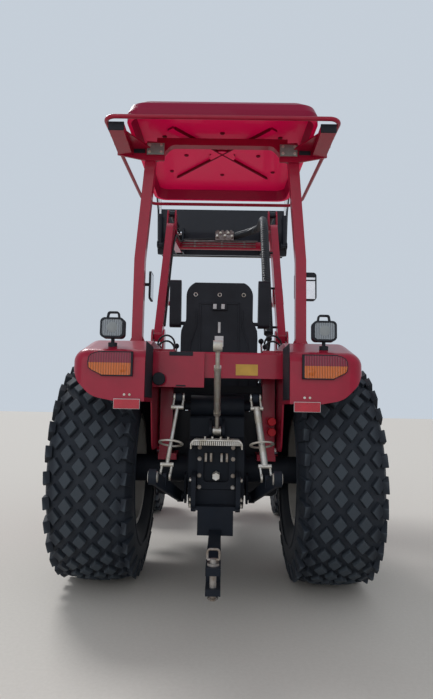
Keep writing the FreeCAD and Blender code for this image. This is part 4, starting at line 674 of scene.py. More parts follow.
def loop(bm, centre, axis, radius, thickness, stretch=1.0):
    """A wire ring: a small circle spun about an axis, and stretched along X into an oval."""
    ring = bmesh.ops.create_circle(bm, segments=8, radius=thickness,
                                   matrix=shift((radius, 0, 0)) @ turn(90, "X"))["verts"]
    edges = list({edge for vert in ring for edge in vert.link_edges})
    before = set(bm.verts) - set(ring)
    bmesh.ops.spin(bm, geom=ring + edges, cent=(0, 0, 0), axis=(0, 0, 1), angle=2 * math.pi,
                   steps=RING_STEPS, use_merge=True)
    made = [vert for vert in bm.verts if vert not in before]
    oval = Matrix.Diagonal((stretch, 1.0, 1.0, 1.0))
    bmesh.ops.transform(bm, matrix=shift(centre) @ oval @ upright(Vector(axis)), verts=made)


def strips(bm, place, side, points, width, near, far):
    """Flat bars from point to point of (x, height), mirrored by the side, between two depths."""
    for start, end in zip(points, points[1:]):
        run = Vector((side * (end[0] - start[0]), 0, end[1] - start[1]))
        middle = Vector((side * (start[0] + end[0]) / 2, (near + far) / 2, (start[1] + end[1]) / 2))
        size = Matrix.Diagonal((width, far - near, run.length + width * 0.8, 1.0))
        heading = Matrix.Rotation(math.atan2(run.x, run.z), 4, "Y")
        bmesh.ops.create_cube(bm, size=1.0, matrix=place @ shift(middle) @ heading @ size)


# %% [markdown]
# ## Wheels
# A wheel is pressed from plate: a rim with a deep well for fitting the tyre, a coned disc, and a hub
# with bolts round it. The rim and the disc are sections turned about the axle, so their curves stay
# smooth where the CAD has flat facets.

# %% Rims
RIMS = (
    # axle, bead radius, disc offset, hub radius, cap, depth, shaft radius, shaft's inner end,
    # bolts, bolt circle, width across a bolt
    ("rear", 0.3048, -0.010, 0.111, 0.040, 0.060, 0.045, 0.360, 8, 0.150, 0.030),
    ("front", 0.20955, 0.045, 0.076, 0.070, 0.030, 0.028, 0.570, 6, 0.105, 0.024),
)


def rim_piece(suffix, bead, offset, hub, cap, depth, shaft, inner, bolts, circle, across):
    centre = middle_of("tyre_" + suffix)
    half = 0.36 * size_of("tyre_" + suffix).x
    side = -1 if "left" in suffix else 1
    flange = bead + 0.07 * (centre.z - bead)
    face = offset - 0.12 * bead
    bm = bmesh.new()
    barrel = [(-half - 0.011, flange - 0.003), (-half - 0.006, flange), (-half - 0.001, flange - 0.004),
              (-half - 0.001, bead - 0.001), (half + 0.001, bead - 0.001), (half + 0.001, flange - 0.004),
              (half + 0.006, flange), (half + 0.011, flange - 0.003), (half + 0.009, bead - 0.010),
              (0.70 * half, bead - 0.014), (0.52 * half, bead - 0.042), (-0.30 * half, bead - 0.042),
              (-0.55 * half, bead - 0.014), (-half - 0.009, bead - 0.010)]
    disc = [(offset, bead - 0.030), (offset - 0.006, 0.80 * bead), (face + 0.006, 0.62 * bead),
            (face, 0.50 * bead), (face, 0.02), (face - 0.010, 0.02), (face - 0.010, 0.52 * bead),
            (face - 0.006, 0.64 * bead), (offset - 0.018, 0.80 * bead), (offset - 0.012, bead - 0.030)]
    for section in (barrel, disc):
        turned(bm, [(side * x, radius) for x, radius in section], centre, 64)
    outward = Vector((side, 0, 0))
    hub_face = centre + outward * face
    rod(bm, hub_face - outward * depth, hub_face + outward * 0.010, hub, 40)
    rod(bm, hub_face + outward * 0.009, hub_face + outward * cap, hub * 0.72, 40, hub * 0.62)
    rod(bm, Vector((side * inner, centre.y, centre.z)), hub_face, shaft, 24)
    for index in range(bolts):
        seat = hub_face + turn(360 * index / bolts, "X") @ Vector((0, 0, circle))
        bolt(bm, seat, outward, across, 0.022)
    piece = finished(bm, "wheel_disc_" + suffix, rim_paint, "wheel_" + suffix, bevel=0.0015)
    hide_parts("rim_" + suffix)


for axle, *measures in RIMS:
    for hand in HANDS:
        rim_piece(axle + "_" + hand, *measures)


# %% [markdown]
# ## The padded seat
# A tractor seat is foam under vinyl: its faces bulge, its edges pull in, and sewn channels cross it.
# A block never looks so. Each pad starts as a slightly small rounded block, is remeshed evenly, and
# is blown up with Blender's Cloth and a little pressure. No point may move further than a cap, and
# the side that lies on the shell stays flat. The channels are pressed in afterwards.

# %% Seat pads
VOXEL = 0.006
PRESSURE = 4.0
SWELL_FRAMES = 20
SWELL_CAP = 0.010
PAD_EDGE = 0.030
CHANNEL_WIDTH = 0.007
CHANNEL_DEPTH = 0.011


def applied(pad):
    """Makes what the modifiers show the pad's own mesh."""
    graph = bpy.context.evaluated_depsgraph_get()
    pad.data = bpy.data.meshes.new_from_object(pad.evaluated_get(graph))
    pad.modifiers.clear()


def swollen(bm, name):
    """Blows up a closed shape as cloth. Its underside, below z = 0, stays flat."""
    pad = object_of(bm, name)
    even = pad.modifiers.new("even", "REMESH")
    even.mode = "VOXEL"
    even.voxel_size = VOXEL
    applied(pad)
    start = [vert.co.copy() for vert in pad.data.vertices]
    swell = pad.modifiers.new("swell", "CLOTH")
    swell.settings.use_pressure = True
    swell.settings.uniform_pressure_force = PRESSURE
    swell.settings.effector_weights.gravity = 0.0
    swell.point_cache.frame_start = 1
    swell.point_cache.frame_end = SWELL_FRAMES
    for moment in range(1, SWELL_FRAMES + 1):
        bpy.context.scene.frame_set(moment)
    applied(pad)
    bpy.context.scene.frame_set(1)
    for vert, origin in zip(pad.data.vertices, start):
        move = vert.co - origin
        if move.length > SWELL_CAP:
            move *= SWELL_CAP / move.length
        vert.co = origin + move
        vert.co.z = max(vert.co.z, 0.0)
    return pad


def seat_pad(name, width, depth, height, channels, place):
    """One pad: width along X, depth along Y, height along Z, with channels across at places along Y."""
    bm = bmesh.new()
    size = Matrix.Diagonal((width, depth, height, 1.0))
    bmesh.ops.create_cube(bm, size=1.0, matrix=shift((0, 0, height / 2)) @ size)
    bmesh.ops.bevel(bm, geom=bm.edges[:], offset=PAD_EDGE, offset_type="OFFSET", affect="EDGES",
                    segments=4, profile=0.5, material=-1)
    pad = swollen(bm, name)
    for vert in pad.data.vertices:
        upper = min(1.0, max(0.0, (vert.co.z - 0.4 * height) / (0.3 * height)))
        press = sum(math.exp(-((vert.co.y - y) / CHANNEL_WIDTH) ** 2) for y in channels)
        sides = math.exp(-((abs(vert.co.x) - 0.36 * width) / CHANNEL_WIDTH) ** 2)
        vert.co.z -= CHANNEL_DEPTH * upper * min(1.0, press + sides)
    pad.data.transform(place)
    round_off = pad.modifiers.new("smooth", "SUBSURF")
    round_off.levels = round_off.render_levels = 1
    pad.data.materials.append(seat_vinyl)
    pad.data.shade_smooth()
    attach(pad, "chassis")
    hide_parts("seat_cushions")
    print("made", name, "of", len(pad.data.vertices), "points")


PAN_FRONT = (0.640, 1.010)
BACK_FOOT = (0.250, 0.990)
BACK_HEAD = (0.180, 1.780)
pan_slope = math.atan2(PAN_FRONT[1] - BACK_FOOT[1], PAN_FRONT[0] - BACK_FOOT[0])
back_lean = math.atan2(BACK_FOOT[0] - BACK_HEAD[0], BACK_HEAD[1] - BACK_FOOT[1])
seat_pad("seat_base_pad", 0.375, 0.335, 0.078, (-0.06, 0.05),
         shift(spot(0, 0.478, 1.0035)) @ Matrix.Rotation(pan_slope, 4, "X"))
seat_pad("seat_back_pad", 0.365, 0.615, 0.056, (-0.17, 0.0, 0.16),
         shift(spot(0, 0.2135, 1.4225)) @ Matrix.Rotation(back_lean, 4, "X") @ turn(-90, "X"))


# %% [markdown]
# ## The back of the seat
# The camera looks at the seat from behind, so its plastic shell needs what a real one has: ring
# bolts along the top, a stiffening frame, a flare at the hips, a slot for the belt and a blank
# plate. The ribs are laid out on the level, and one matrix leans them with the seat's back.

# %% Seat back
SHELL = 0.026


def seat_back(x, along, out=0.0):
    """A place on the seat shell's rear face, by the height along it."""
    face = BACK_FOOT[0] - (along - BACK_FOOT[1]) * math.tan(back_lean) - SHELL
    return spot(x, face - out, along)


bm = bmesh.new()
for x in (-0.155, 0.0, 0.155):
    loop(bm, seat_back(x, 1.700, 0.002), (0, 1, 0), 0.011, 0.0028)
finished(bm, "seat_ring_bolts", zinc_steel)

lean = shift(seat_back(0, 1.4)) @ Matrix.Rotation(back_lean, 4, "X")
frame_of_seat = lean @ shift(-spot(0, 0, 0))
RIB_DEPTH = (-0.006, 0.002)
EDGE_CURVE = ((0.150, 0.200), (0.146, 0.110), (0.162, 0.050), (0.184, -0.010), (0.192, -0.100),
              (0.190, -0.320))
bm = bmesh.new()
for s in (-1, 1):
    strips(bm, lean, s, ((0.124, -0.34), (0.124, 0.245)), 0.012, *RIB_DEPTH)
    strips(bm, lean, s, EDGE_CURVE, 0.010, *RIB_DEPTH)
for z in (-0.34, 0.245):
    block(bm, (-0.130, 0.130), RIB_DEPTH, (z - 0.006, z + 0.006), frame_of_seat)
block(bm, (-0.048, 0.048), (-0.013, 0.002), (0.200, 0.250), frame_of_seat)
finished(bm, "seat_back_ribs", black_plastic, bevel=0.002)

HIP_FLARE = ((0.2120, 0.160), (0.2170, 0.130), (0.2330, 0.100), (0.2450, 0.070), (0.2480, 0.030),
             (0.2480, -0.330), (0.2400, -0.370), (0.2120, -0.385))
bm = bmesh.new()
for s in (-1, 1):
    outline = [bm.verts.new(lean @ Vector((s * x, 0.0, z))) for x, z in HIP_FLARE]
    plate = bmesh.ops.extrude_face_region(bm, geom=[bm.faces.new(outline)])["geom"]
    front = [item for item in plate if isinstance(item, bmesh.types.BMVert)]
    bmesh.ops.translate(bm, verts=front, vec=lean.to_3x3() @ Vector((0, 0.024, 0)))
finished(bm, "seat_hip_flares", black_plastic, bevel=0.006)

bm = bmesh.new()
block(bm, (-0.028, 0.028), (-0.0035, 0.001), (-0.035, 0.035), frame_of_seat)
block(bm, (-0.008, 0.008), (-0.0035, 0.001), (0.055, 0.125), frame_of_seat)
for x in (-0.030, 0.022):
    block(bm, (x - 0.011, x + 0.011), (-0.0175, -0.0155), (0.209, 0.240), frame_of_seat)
finished(bm, "seat_blank_plate", pale_plastic, bevel=0.001)


# %% [markdown]
# ## The cross panel
# The red panel below the seat carries a round socket for a trailer's lights, slots and a yellow
# plate, which stays blank. Dark strips at its ends are painted shade, where the fenders' inner
# walls lie in shadow. On its right two couplers with red caps wait for hoses.

# %% Panel fittings
bm = bmesh.new()
block(bm, (0.094, 0.210), (-0.4218, -0.4198), (1.147, 1.205))
finished(bm, "blank_yellow_plate", label_yellow, bevel=0.0005)

bm = bmesh.new()
rod(bm, spot(-0.300, -0.452, 1.118), spot(-0.300, -0.492, 1.118), 0.030, 28)
rod(bm, spot(-0.300, -0.490, 1.118), spot(-0.300, -0.502, 1.118), 0.034, 28, 0.030)
block(bm, (-0.253, -0.130), (-0.4585, -0.454), (1.242, 1.2625))
block(bm, (-0.215, -0.165), (-0.4565, -0.454), (1.082, 1.090))
for s in (-1, 1):
    # Painted shade: dark strips where the fenders' inner walls lie in shadow.
    block(bm, (s * 0.3395, s * 0.3360), (-0.706, -0.462), (1.020, 1.285))
    block(bm, (s * 0.010, s * 0.256), (-0.100, -0.060), (1.062, 1.104))
finished(bm, "panel_fittings_and_shade_strips", black_plastic, bevel=0.002)

bm = bmesh.new()
caps = bmesh.new()
for z in (0.905, 0.848):
    rod(bm, spot(0.300, -0.118, z), spot(0.300, -0.235, z), 0.016, 16)
    rod(bm, spot(0.300, -0.150, z), spot(0.300, -0.190, z), 0.021, 6)
    rod(caps, spot(0.300, -0.232, z), spot(0.300, -0.282, z), 0.025, 20, 0.022)
finished(bm, "remote_couplers", zinc_steel, bevel=0.001)
finished(caps, "coupler_caps", red_plastic, bevel=0.002)


# %% [markdown]
# ## The underside of the canopy
# The liner is pressed with a cross that stiffens it, and plastic plugs hold it. Seen from the ground
# the cross reads as dark lines, so a narrow strip of painted shade in a darker red runs along each
# rib, and the plugs are low discs in the same dark red.
# The clamps that hold the roof's frame to the posts have plain grey plates.

# %% Canopy underside
ROOF_MIDDLE = 0.180
LINER_FACE = 2.652
PLUGS = ((0, 0.29), (0, -0.29), (0.24, 0), (-0.24, 0), (0.36, 0.24), (-0.36, 0.24), (0.36, -0.24),
         (-0.36, -0.24))
roof_middle = spot(0, ROOF_MIDDLE, LINER_FACE)
bm = bmesh.new()
# Narrow strips of painted shade along the cross's ribs.
for heading in (-48, 48):
    block(bm, (-0.455, 0.455), (ROOF_MIDDLE - 0.030, ROOF_MIDDLE - 0.020),
          (LINER_FACE - 0.016, LINER_FACE + 0.001), about(roof_middle, heading, "Z"))
for x, y in PLUGS:
    seat = roof_middle + Vector((x, y, 0))
    rod(bm, seat + Vector((0, 0, 0.001)), seat - Vector((0, 0, 0.006)), 0.016, 20, 0.012)
finished(bm, "canopy_rib_shade_and_plugs", painted_shade_red, bevel=0.001)

bm = bmesh.new()
plugs = bmesh.new()
for s in (-1, 1):
    block(bm, (s * 0.352, s * 0.458), (-0.1252, -0.1218), (2.502, 2.576))
    block(bm, (s * 0.552, s * 0.630), (-0.4025, -0.3995), (2.507, 2.546))
    block(plugs, (s * 0.547, s * 0.635), (-0.4080, -0.3990), (2.502, 2.551))
    block(plugs, (s * 0.470, s * 0.540), (-0.1165, -0.1118), (2.515, 2.545))
finished(bm, "clamp_plates", grey_plate, bevel=0.001)
finished(plugs, "tube_plugs", black_plastic, bevel=0.002)


# %% [markdown]
# ## Lamps on the fenders
# A tail lamp is two lenses in a dark tray, with a bulb behind one corner. The work lamps show a pale
# bulb behind their ribbed glass. Below the fenders sit plain red reflectors with a pale rim.

# %% Lamps
FENDER_FACE = -0.715
ROUNDED_END = ((0.540, 1.1190), (0.566, 1.1315), (0.592, 1.1440), (0.603, 1.1540), (0.6065, 1.1780),
               (0.603, 1.2030), (0.594, 1.2150), (0.578, 1.2225), (0.556, 1.2280))


def proud(far, near):
    """Limits along Y for a block that stands on the fender's rear face."""
    return FENDER_FACE - far, FENDER_FACE - near


bm = bmesh.new()
for s in (-1, 1):
    for end, far, low, high in ((0.6065, 0.0155, 1.1758, 1.1798), (0.4055, 0.0175, 1.117, 1.230),
                                (0.560, 0.0175, 1.2265, 1.2315), (0.545, 0.0175, 1.1155, 1.1205)):
        block(bm, (s * 0.396, s * end), proud(far, 0.0005), (low, high))
    strips(bm, shift(spot(0, FENDER_FACE, 0)), s, ROUNDED_END, 0.0035, -0.0172, -0.0005)
finished(bm, "tail_lamp_trays", black_plastic, bevel=0.001)

bulbs = bmesh.new()
faces = bmesh.new()
rims = bmesh.new()
for s in (-1, 1):
    seat = spot(s * 0.440, FENDER_FACE, 1.148)
    rod(bulbs, seat - Vector((0, 0.0160, 0)), seat - Vector((0, 0.0185, 0)), 0.017, 28, 0.012)
    block(faces, (s * 0.3592, s * 0.4788), proud(0.0118, 0.0095), (0.9652, 1.0082))
    block(rims, (s * 0.3575, s * 0.4805), proud(0.0105, 0.0075), (0.9635, 1.0105))
finished(bulbs, "tail_lamp_bulbs", amber_lens)
finished(faces, "reflector_faces", reflector_red, bevel=0.001)
finished(rims, "reflector_rims", pale_plastic, bevel=0.001)

bm = bmesh.new()
for s in (-1, 1):
    rod(bm, spot(s * 0.520, -0.6320, 1.360), spot(s * 0.520, -0.6335, 1.360), 0.026, 32, 0.020)
finished(bm, "work_lamp_bulbs", lamp_glow)


# %% [markdown]
# ## Threads and handles
# The turnbuckles of the top link and the lift rods have cut threads. Stacked thin discs read as a
# thread from a step away and cost few faces. Oval wire handles and a lock ring keep them from
# turning by themselves.

# %% Threads and handles
TOP_LINK_FOOT = spot(0, -0.265, 0.850)
TOP_LINK_HEAD = spot(0, -0.660, 1.272)


def thread(bm, start, direction, length, radius, spacing=0.0045):
    for index in range(int(length / spacing)):
        foot = start + direction * (index * spacing)
        rod(bm, foot, foot + direction * spacing * 0.55, radius, 14, radius * 0.92)


bm = bmesh.new()
length = (TOP_LINK_HEAD - TOP_LINK_FOOT).length
way = (TOP_LINK_HEAD - TOP_LINK_FOOT).normalized()
thread(bm, TOP_LINK_FOOT + way * 0.030, way, 0.088, 0.0112)
thread(bm, TOP_LINK_FOOT + way * (length - 0.128), way, 0.095, 0.0112)
for along in (0.128, length - 0.146):
    rod(bm, TOP_LINK_FOOT + way * along, TOP_LINK_FOOT + way * (along + 0.018), 0.021, 6)
side_way = way.cross(Vector((1, 0, 0)))
loop(bm, TOP_LINK_FOOT + way * 0.20 + side_way * 0.020, (1, 0, 0), 0.022, 0.003)
finished(bm, "top_link_threads", zinc_steel, "top_link")

for s, name in ((-1, "left"), (1, "right")):
    rod_top = spot(s * 0.2000, -0.400, 1.030)
    rod_low = spot(s * 0.2469, -0.570, 0.640)
    run = (rod_low - rod_top).normalized()
    bm = bmesh.new()
    loop(bm, rod_top.lerp(rod_low, 0.60), run, 0.042, 0.0055, 1.35)
    if s > 0:
        thread(bm, rod_top.lerp(rod_low, 0.14), run, 0.085, 0.0195, 0.006)
    else:
        thread(bm, rod_top.lerp(rod_low, 0.66), run, 0.070, 0.0112)
    finished(bm, "lift_rod_handle_" + name, zinc_steel, "lift_links")


# %% [markdown]
# ## Hitch hardware
# Each lower link ends in a ball that can turn in its eye, so its polished sides show. The shield
# over the power take-off has a ribbed edge and studs, the gear case has bolts, and the shaft below
# the shield has the six splines that turn an implement.

# %% Balls, studs and splines
bm = bmesh.new()
for s in (-1, 1):
    for out in (-0.0180, 0.0180):
        ball = spot(s * 0.270 + out, -0.850, 0.674)
        rod(bm, ball - Vector((0.003, 0, 0)), ball + Vector((0.003, 0, 0)), 0.0245, 28)
finished(bm, "link_balls", zinc_steel, "lower_links", bevel=0.0015)

bm = bmesh.new()
for rib in range(25):
    x = -0.120 + 0.010 * rib
    block(bm, (x - 0.003, x + 0.003), (-0.4535, -0.4495), (0.784, 0.8045))
for x in (-0.060, -0.022, 0.022, 0.060):
    rod(bm, spot(x, -0.400, 0.805), spot(x, -0.400, 0.826), 0.006, 12)
    rod(bm, spot(x, -0.400, 0.806), spot(x, -0.400, 0.814), 0.010, 6)
finished(bm, "shield_studs", zinc_steel)

bm = bmesh.new()
for s in (-1, 1):
    for z in (0.558, 0.618, 0.705, 0.765):
        bolt(bm, spot(s * 0.089, -0.3300, z), (0, -1, 0), 0.016, 0.010)
    for x in (0.028, 0.056):
        block(bm, (s * (x - 0.006), s * (x + 0.006)), (-0.3330, -0.3290), (0.690, 0.735))
finished(bm, "case_bolts", worn_steel, bevel=0.0006)

bm = bmesh.new()
pto_axis = spot(0, 0, 0.620)
for spline in range(6):
    for near, far in ((-0.386, -0.346), (-0.332, -0.302)):
        block(bm, (-0.0045, 0.0045), (near, far), (0.636, 0.6400), about(pto_axis, 60 * spline, "Y"))
finished(bm, "pto_splines", zinc_steel, "pto_shaft", bevel=0.0006)

bm = bmesh.new()
loop(bm, spot(0, -1.010, 0.232), (0, 0, 1), 0.020, 0.0025)
finished(bm, "hitch_pin_clip", worn_steel)


# %% [markdown]
# ## Bolts where plates meet
# Roll-over posts, clamps and wing plates are bolted, and a row of hex heads tells the eye how big
# and how stiff they are. One mesh holds all the heads that stay with the chassis.

# %% Bolts
bm = bmesh.new()
for s in (-1, 1):
    for dx in (-0.045, 0.045):
        for dy in (-0.050, 0.050):
            bolt(bm, spot(s * 0.4845 + dx, -0.070 + dy, 1.334), (0, 0, 1), 0.018, 0.011)
    for z in (2.518, 2.562):
        for x in (0.370, 0.442):
            bolt(bm, spot(s * x, -0.1250, z), (0, -1, 0), 0.013, 0.008)
    for x in (0.500, 0.600):
        bolt(bm, spot(s * x, -0.1120, 2.566), (0, -1, 0), 0.015, 0.009)
    for y in (-0.30, -0.20):
        bolt(bm, spot(s * 0.633, y, 2.527), (s, 0, 0), 0.015, 0.009)
    for y in (1.02, 1.10):
        for z in (0.60, 0.72):
            bolt(bm, spot(s * 0.5525, y, z), (s, 0, 0), 0.022, 0.012)
    for z in (0.470, 0.500, 0.600):
        bolt(bm, spot(s * 0.127, -0.365, z), (s, 0, 0), 0.020, 0.012)
    for x in (0.408, 0.433):
        bolt(bm, spot(s * x, FENDER_FACE, 1.030), (0, -1, 0), 0.008, 0.004)
finished(bm, "frame_bolts", zinc_steel)


# %% [markdown]
# ## Mirrors and levers
# A mirror is a plastic housing with a sheet of glass set in it. Two dark bands on the right one
# stand for what it reflects. The levers' stems are chromed.

# %% Mirrors and levers
MIRROR_HEIGHT = (1.6485, 1.8065)
bm = bmesh.new()
block(bm, (0.4685, 0.5865), (-0.0005, 0.0015), MIRROR_HEIGHT)
finished(bm, "mirror_glass_right", mirror_glass, bevel=0.001)
bm = bmesh.new()
block(bm, (-0.4282, -0.4272), (0.021, 0.136), MIRROR_HEIGHT)
finished(bm, "mirror_glass_left", mirror_glass)
# Two dark bands of painted reflection across the right mirror's glass.
bm = bmesh.new()
for height in ((1.7830, 1.8080), (1.7600, 1.7690)):
    block(bm, (0.4680, 0.5870), (-0.0014, -0.0002), height)
finished(bm, "mirror_painted_reflection", black_plastic)

LEVERS = (
    # foot and top of each lever
    ((0.300, 0.420, 1.268), (0.285, 0.380, 1.430)),
    ((0.318, 0.470, 1.268), (0.318, 0.450, 1.400)),
    ((-0.300, 0.430, 1.268), (-0.292, 0.400, 1.390)),
)
bm = bmesh.new()
for foot, top in LEVERS:
    rod(bm, spot(*foot), spot(*foot).lerp(spot(*top), 0.86), 0.0078, 16)
finished(bm, "lever_stems", chrome)


# %% [markdown]
# ## Pedals and floor mats
# A pedal is a small sloping plate on an arm, with ribs that a boot can grip. The mats beside the
# gear case have the same ribs. Both are rows of low bars, so a loop lays them.

# %% Pedals and mats
bm = bmesh.new()
for x, width in ((-0.275, 0.070), (0.262, 0.055), (0.330, 0.055)):
    tilt = shift(spot(x, 0.940, 0.760)) @ turn(-35, "X") @ shift(-spot(0, 0, 0))
    block(bm, (-width / 2, width / 2), (-0.045, 0.045), (0.0, 0.010), tilt)
    for rib in range(6):
        y = -0.038 + rib * 0.015
        block(bm, (-width / 2 + 0.004, width / 2 - 0.004), (y, y + 0.006), (0.009, 0.014), tilt)
    rod(bm, spot(x, 0.945, 0.755), spot(x, 1.080, 0.680), 0.010, 12)
for s in (-1, 1):
    block(bm, (s * 0.158, s * 0.334), (0.262, 0.995), (0.6522, 0.6560))
    for rib in range(24):
        y = 0.275 + rib * 0.030
        block(bm, (s * 0.170, s * 0.324), (y, y + 0.010), (0.6555, 0.6600))
finished(bm, "pedals_and_mats", black_plastic, bevel=0.0008)


# %% [markdown]
# ## The dash
# Three round instruments sit on the sloping dash behind the wheel. Their faces are pale with plain
# ticks and no lettering, under a black bezel.

# %% Instruments
DIALS = ((-0.115, 0.036), (0.0, 0.052), (0.115, 0.036))
dash_slope = math.atan2(1.039 - 0.999, 1.405 - 1.180)
outward = Vector((0, -math.cos(dash_slope), math.sin(dash_slope)))
upward = Vector((0, math.sin(dash_slope), math.cos(dash_slope)))
rightward = Vector((1, 0, 0))
bezels = bmesh.new()
dials = bmesh.new()
marks = bmesh.new()
for x, radius in DIALS:
    seat = spot(x, 1.0245, 1.323)
    rod(bezels, seat - outward * 0.004, seat + outward * 0.012, radius * 1.14, 40)
    rod(dials, seat + outward * 0.0120, seat + outward * 0.0128, radius, 40)
    centre = seat + outward * 0.0132
    for tick in range(9):
        angle = math.radians(-120 + 30 * tick)
        ray = (rightward * math.sin(angle) + upward * math.cos(angle)) * radius
        rod(marks, centre + ray * 0.78, centre + ray * 0.92, 0.0012, 6)
    pivot = seat + outward * 0.0136
    rod(marks, pivot, pivot + (rightward + upward).normalized() * radius * 0.7, 0.0013, 6)
finished(bezels, "dial_bezels", black_plastic, bevel=0.001)
finished(dials, "dial_faces", pale_plastic)
finished(marks, "dial_marks", black_paint)


# %% [markdown]
# ## The engine's side
# Below the hood the block shows. A filter, a starter, a silencer and the sump's flange with its
# bolts turn one plain mass into an engine.

# %% Engine side
bm = bmesh.new()
rod(bm, spot(-0.235, 1.230, 0.640), spot(-0.235, 1.440, 0.640), 0.042, 24)
rod(bm, spot(-0.205, 1.250, 0.705), spot(-0.205, 1.370, 0.705), 0.022, 20)
block(bm, (-0.205, 0.205), (1.160, 1.690), (0.585, 0.600))
block(bm, (-0.196, 0.196), (1.220, 1.640), (0.780, 0.800))
for s in (-1, 1):
    for rib in range(6):
        y = 1.20 + rib * 0.085
        block(bm, (s * 0.188, s * 0.198), (y, y + 0.012), (0.602, 0.870))
finished(bm, "engine_castings", case_paint, bevel=0.003)

bm = bmesh.new()
rod(bm, spot(0.190, 1.560, 0.655), spot(0.285, 1.560, 0.655), 0.043, 28)
rod(bm, spot(0.284, 1.560, 0.655), spot(0.292, 1.560, 0.655), 0.030, 8)
finished(bm, "oil_filter", pale_plastic, bevel=0.004)

bm = bmesh.new()
rod(bm, spot(0.232, 1.260, 0.812), spot(0.232, 1.520, 0.812), 0.050, 28)
rod(bm, spot(0.232, 1.180, 0.812), spot(0.232, 1.262, 0.812), 0.020, 20)
rod(bm, spot(0.232, 1.200, 0.812), spot(0.232, 1.175, 0.560), 0.019, 20)
finished(bm, "silencer", worn_steel, bevel=0.004)

bm = bmesh.new()
for s in (-1, 1):
    for index in range(22):
        y = 1.19 + 0.485 * index / 21
        bolt(bm, spot(s * 0.202, y, 0.600), (0, 0, 1), 0.010, 0.007)
finished(bm, "engine_bolts", zinc_steel)


# %% [markdown]
# ## Openings in the hood
# The hood breathes through slots in its sides and through the grille, which needs a dark radiator
# behind it, because daylight through a grille looks like a toy. A lamp's bowl is a short cone of
# chrome behind its lens. The hood narrows towards the nose, so each slot asks where its side is.

# %% Hood openings
def hood_side(y):
    return 0.250 - 0.025 * (y - 1.158) / 1.082


LAMPS = (-0.12, 0.12)
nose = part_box("hood")[1].y - rear_axle.y
bm = bmesh.new()
for s in (-1, 1):
    for index in range(12):
        y = 1.700 + index * 0.030
        wall = hood_side(y)
        block(bm, (s * (wall - 0.004), s * (wall + 0.0012)), (y, y + 0.014), (0.960, 1.120))
block(bm, (-0.148, 0.148), (nose - 0.060, nose - 0.045), (0.923, 1.177))
for x in LAMPS:
    block(bm, (x - 0.066, x + 0.066), (nose - 0.052, nose - 0.041), (1.188, 1.252))
finished(bm, "hood_vents", black_plastic, "hood", bevel=0.001)

bm = bmesh.new()
for x in LAMPS:
    rod(bm, spot(x, nose - 0.040, 1.220), spot(x, nose - 0.006, 1.220), 0.016, 24, 0.024)
finished(bm, "headlamp_bowls", chrome, "hood")


# %% [markdown]
# ## The bucket's cutting edge
# The lip of a bucket is hard steel that the ground keeps bare. The bucket is rolled back on its
# pins, so its strip is placed level and turned with the same angle about the arm's tip.

# %% Cutting edge
BUCKET_ROLL = 15
boom_tip = spot(0, 2.750, 2.800)
roll = about(boom_tip, BUCKET_ROLL, "X")
bm = bmesh.new()
block(bm, (-0.7752, 0.7752), (3.452, 3.6198), (2.7222, 2.7286), roll)
finished(bm, "cutting_edge", worn_steel, "clam", bevel=0.001)
bm = bmesh.new()
for index in range(8):
    seat = roll @ spot(-0.70 + 0.2 * index, 3.530, 2.7360)
    bolt(bm, seat, roll.to_3x3() @ Vector((0, 0, 1)), 0.022, 0.008)
finished(bm, "edge_bolts", zinc_steel, "clam")


# %% [markdown]
# ## Hoses
# A hose is a circle carried along a path. The circle is extruded edge by edge, and each new ring is
# moved and turned to the next point, which is what a sweep does, written out. The hose on the right
# arm ends in a swivel at the boom's own axis, and its tail below stays with the chassis, so that
# the two stay together however far the boom comes down.

# %% Hoses
CORNER_CUTS = 3


def sweep(bm, points, radius, sides=10):
    """Carries a circle along points and closes both ends."""
    runs = [(after - before).normalized() for before, after in zip(points, points[1:])]
    ways = [runs[0]] + [(a + b).normalized() for a, b in zip(runs, runs[1:])] + [runs[-1]]
    made = bmesh.ops.create_circle(bm, cap_ends=True, segments=sides, radius=radius,
                                   matrix=shift(points[0]) @ upright(ways[0]))
    ring = list({edge for vert in made["verts"] for edge in vert.link_edges})
    for index in range(1, len(points)):
        grown = bmesh.ops.extrude_edge_only(bm, edges=ring)["geom"]
        verts = [item for item in grown if isinstance(item, bmesh.types.BMVert)]
        ring = [item for item in grown if isinstance(item, bmesh.types.BMEdge)
                and all(vert in verts for vert in item.verts)]
        bend = ways[index - 1].rotation_difference(ways[index]).to_matrix().to_4x4()
        bmesh.ops.transform(bm, verts=verts,
                            matrix=shift(points[index]) @ bend @ shift(-points[index - 1]))
    bmesh.ops.edgeloop_fill(bm, edges=ring)


def eased(corners):
    """Cuts corners off a path again and again, until it bends smoothly."""
    points = [spot(*corner) for corner in corners]
    for _ in range(CORNER_CUTS):
        softer = [points[0]]
        for before, after in zip(points, points[1:]):
            softer += [before.lerp(after, 0.25), before.lerp(after, 0.75)]
        points = softer + [points[-1]]
    return points


LEFT_ARM = ((-0.458, 1.130, 1.640), (-0.458, 1.770, 2.690), (-0.458, 2.420, 2.765),
            (-0.430, 2.550, 2.845), (-0.300, 2.560, 2.850), (-0.076, 2.560, 2.860))
RIGHT_TAIL = ((0.400, 1.070, 1.518), (0.396, 1.060, 1.450), (0.360, 1.040, 1.350),
              (0.300, 1.060, 1.180))
boom_axis = spot(0.400, 1.070, 1.540)
bm = bmesh.new()
sweep(bm, eased(LEFT_ARM), 0.009)
rod(bm, spot(0.400, 1.100, 1.590), boom_axis, 0.020)
bmesh.ops.create_uvsphere(bm, u_segments=24, v_segments=16, radius=0.026, matrix=shift(boom_axis))
finished(bm, "thin_hoses", hose_rubber, "boom")

bm = bmesh.new()
sweep(bm, eased(RIGHT_TAIL), 0.014)
finished(bm, "hose_tail", hose_rubber)


# %% [markdown]
# ## Steel lines and the valve
# Three steel lines run along the tube between the arms, in clips. The valve on the tube has a row
# of hose ends towards the seat and plugs on its top, because a plain block doesn't look like one.

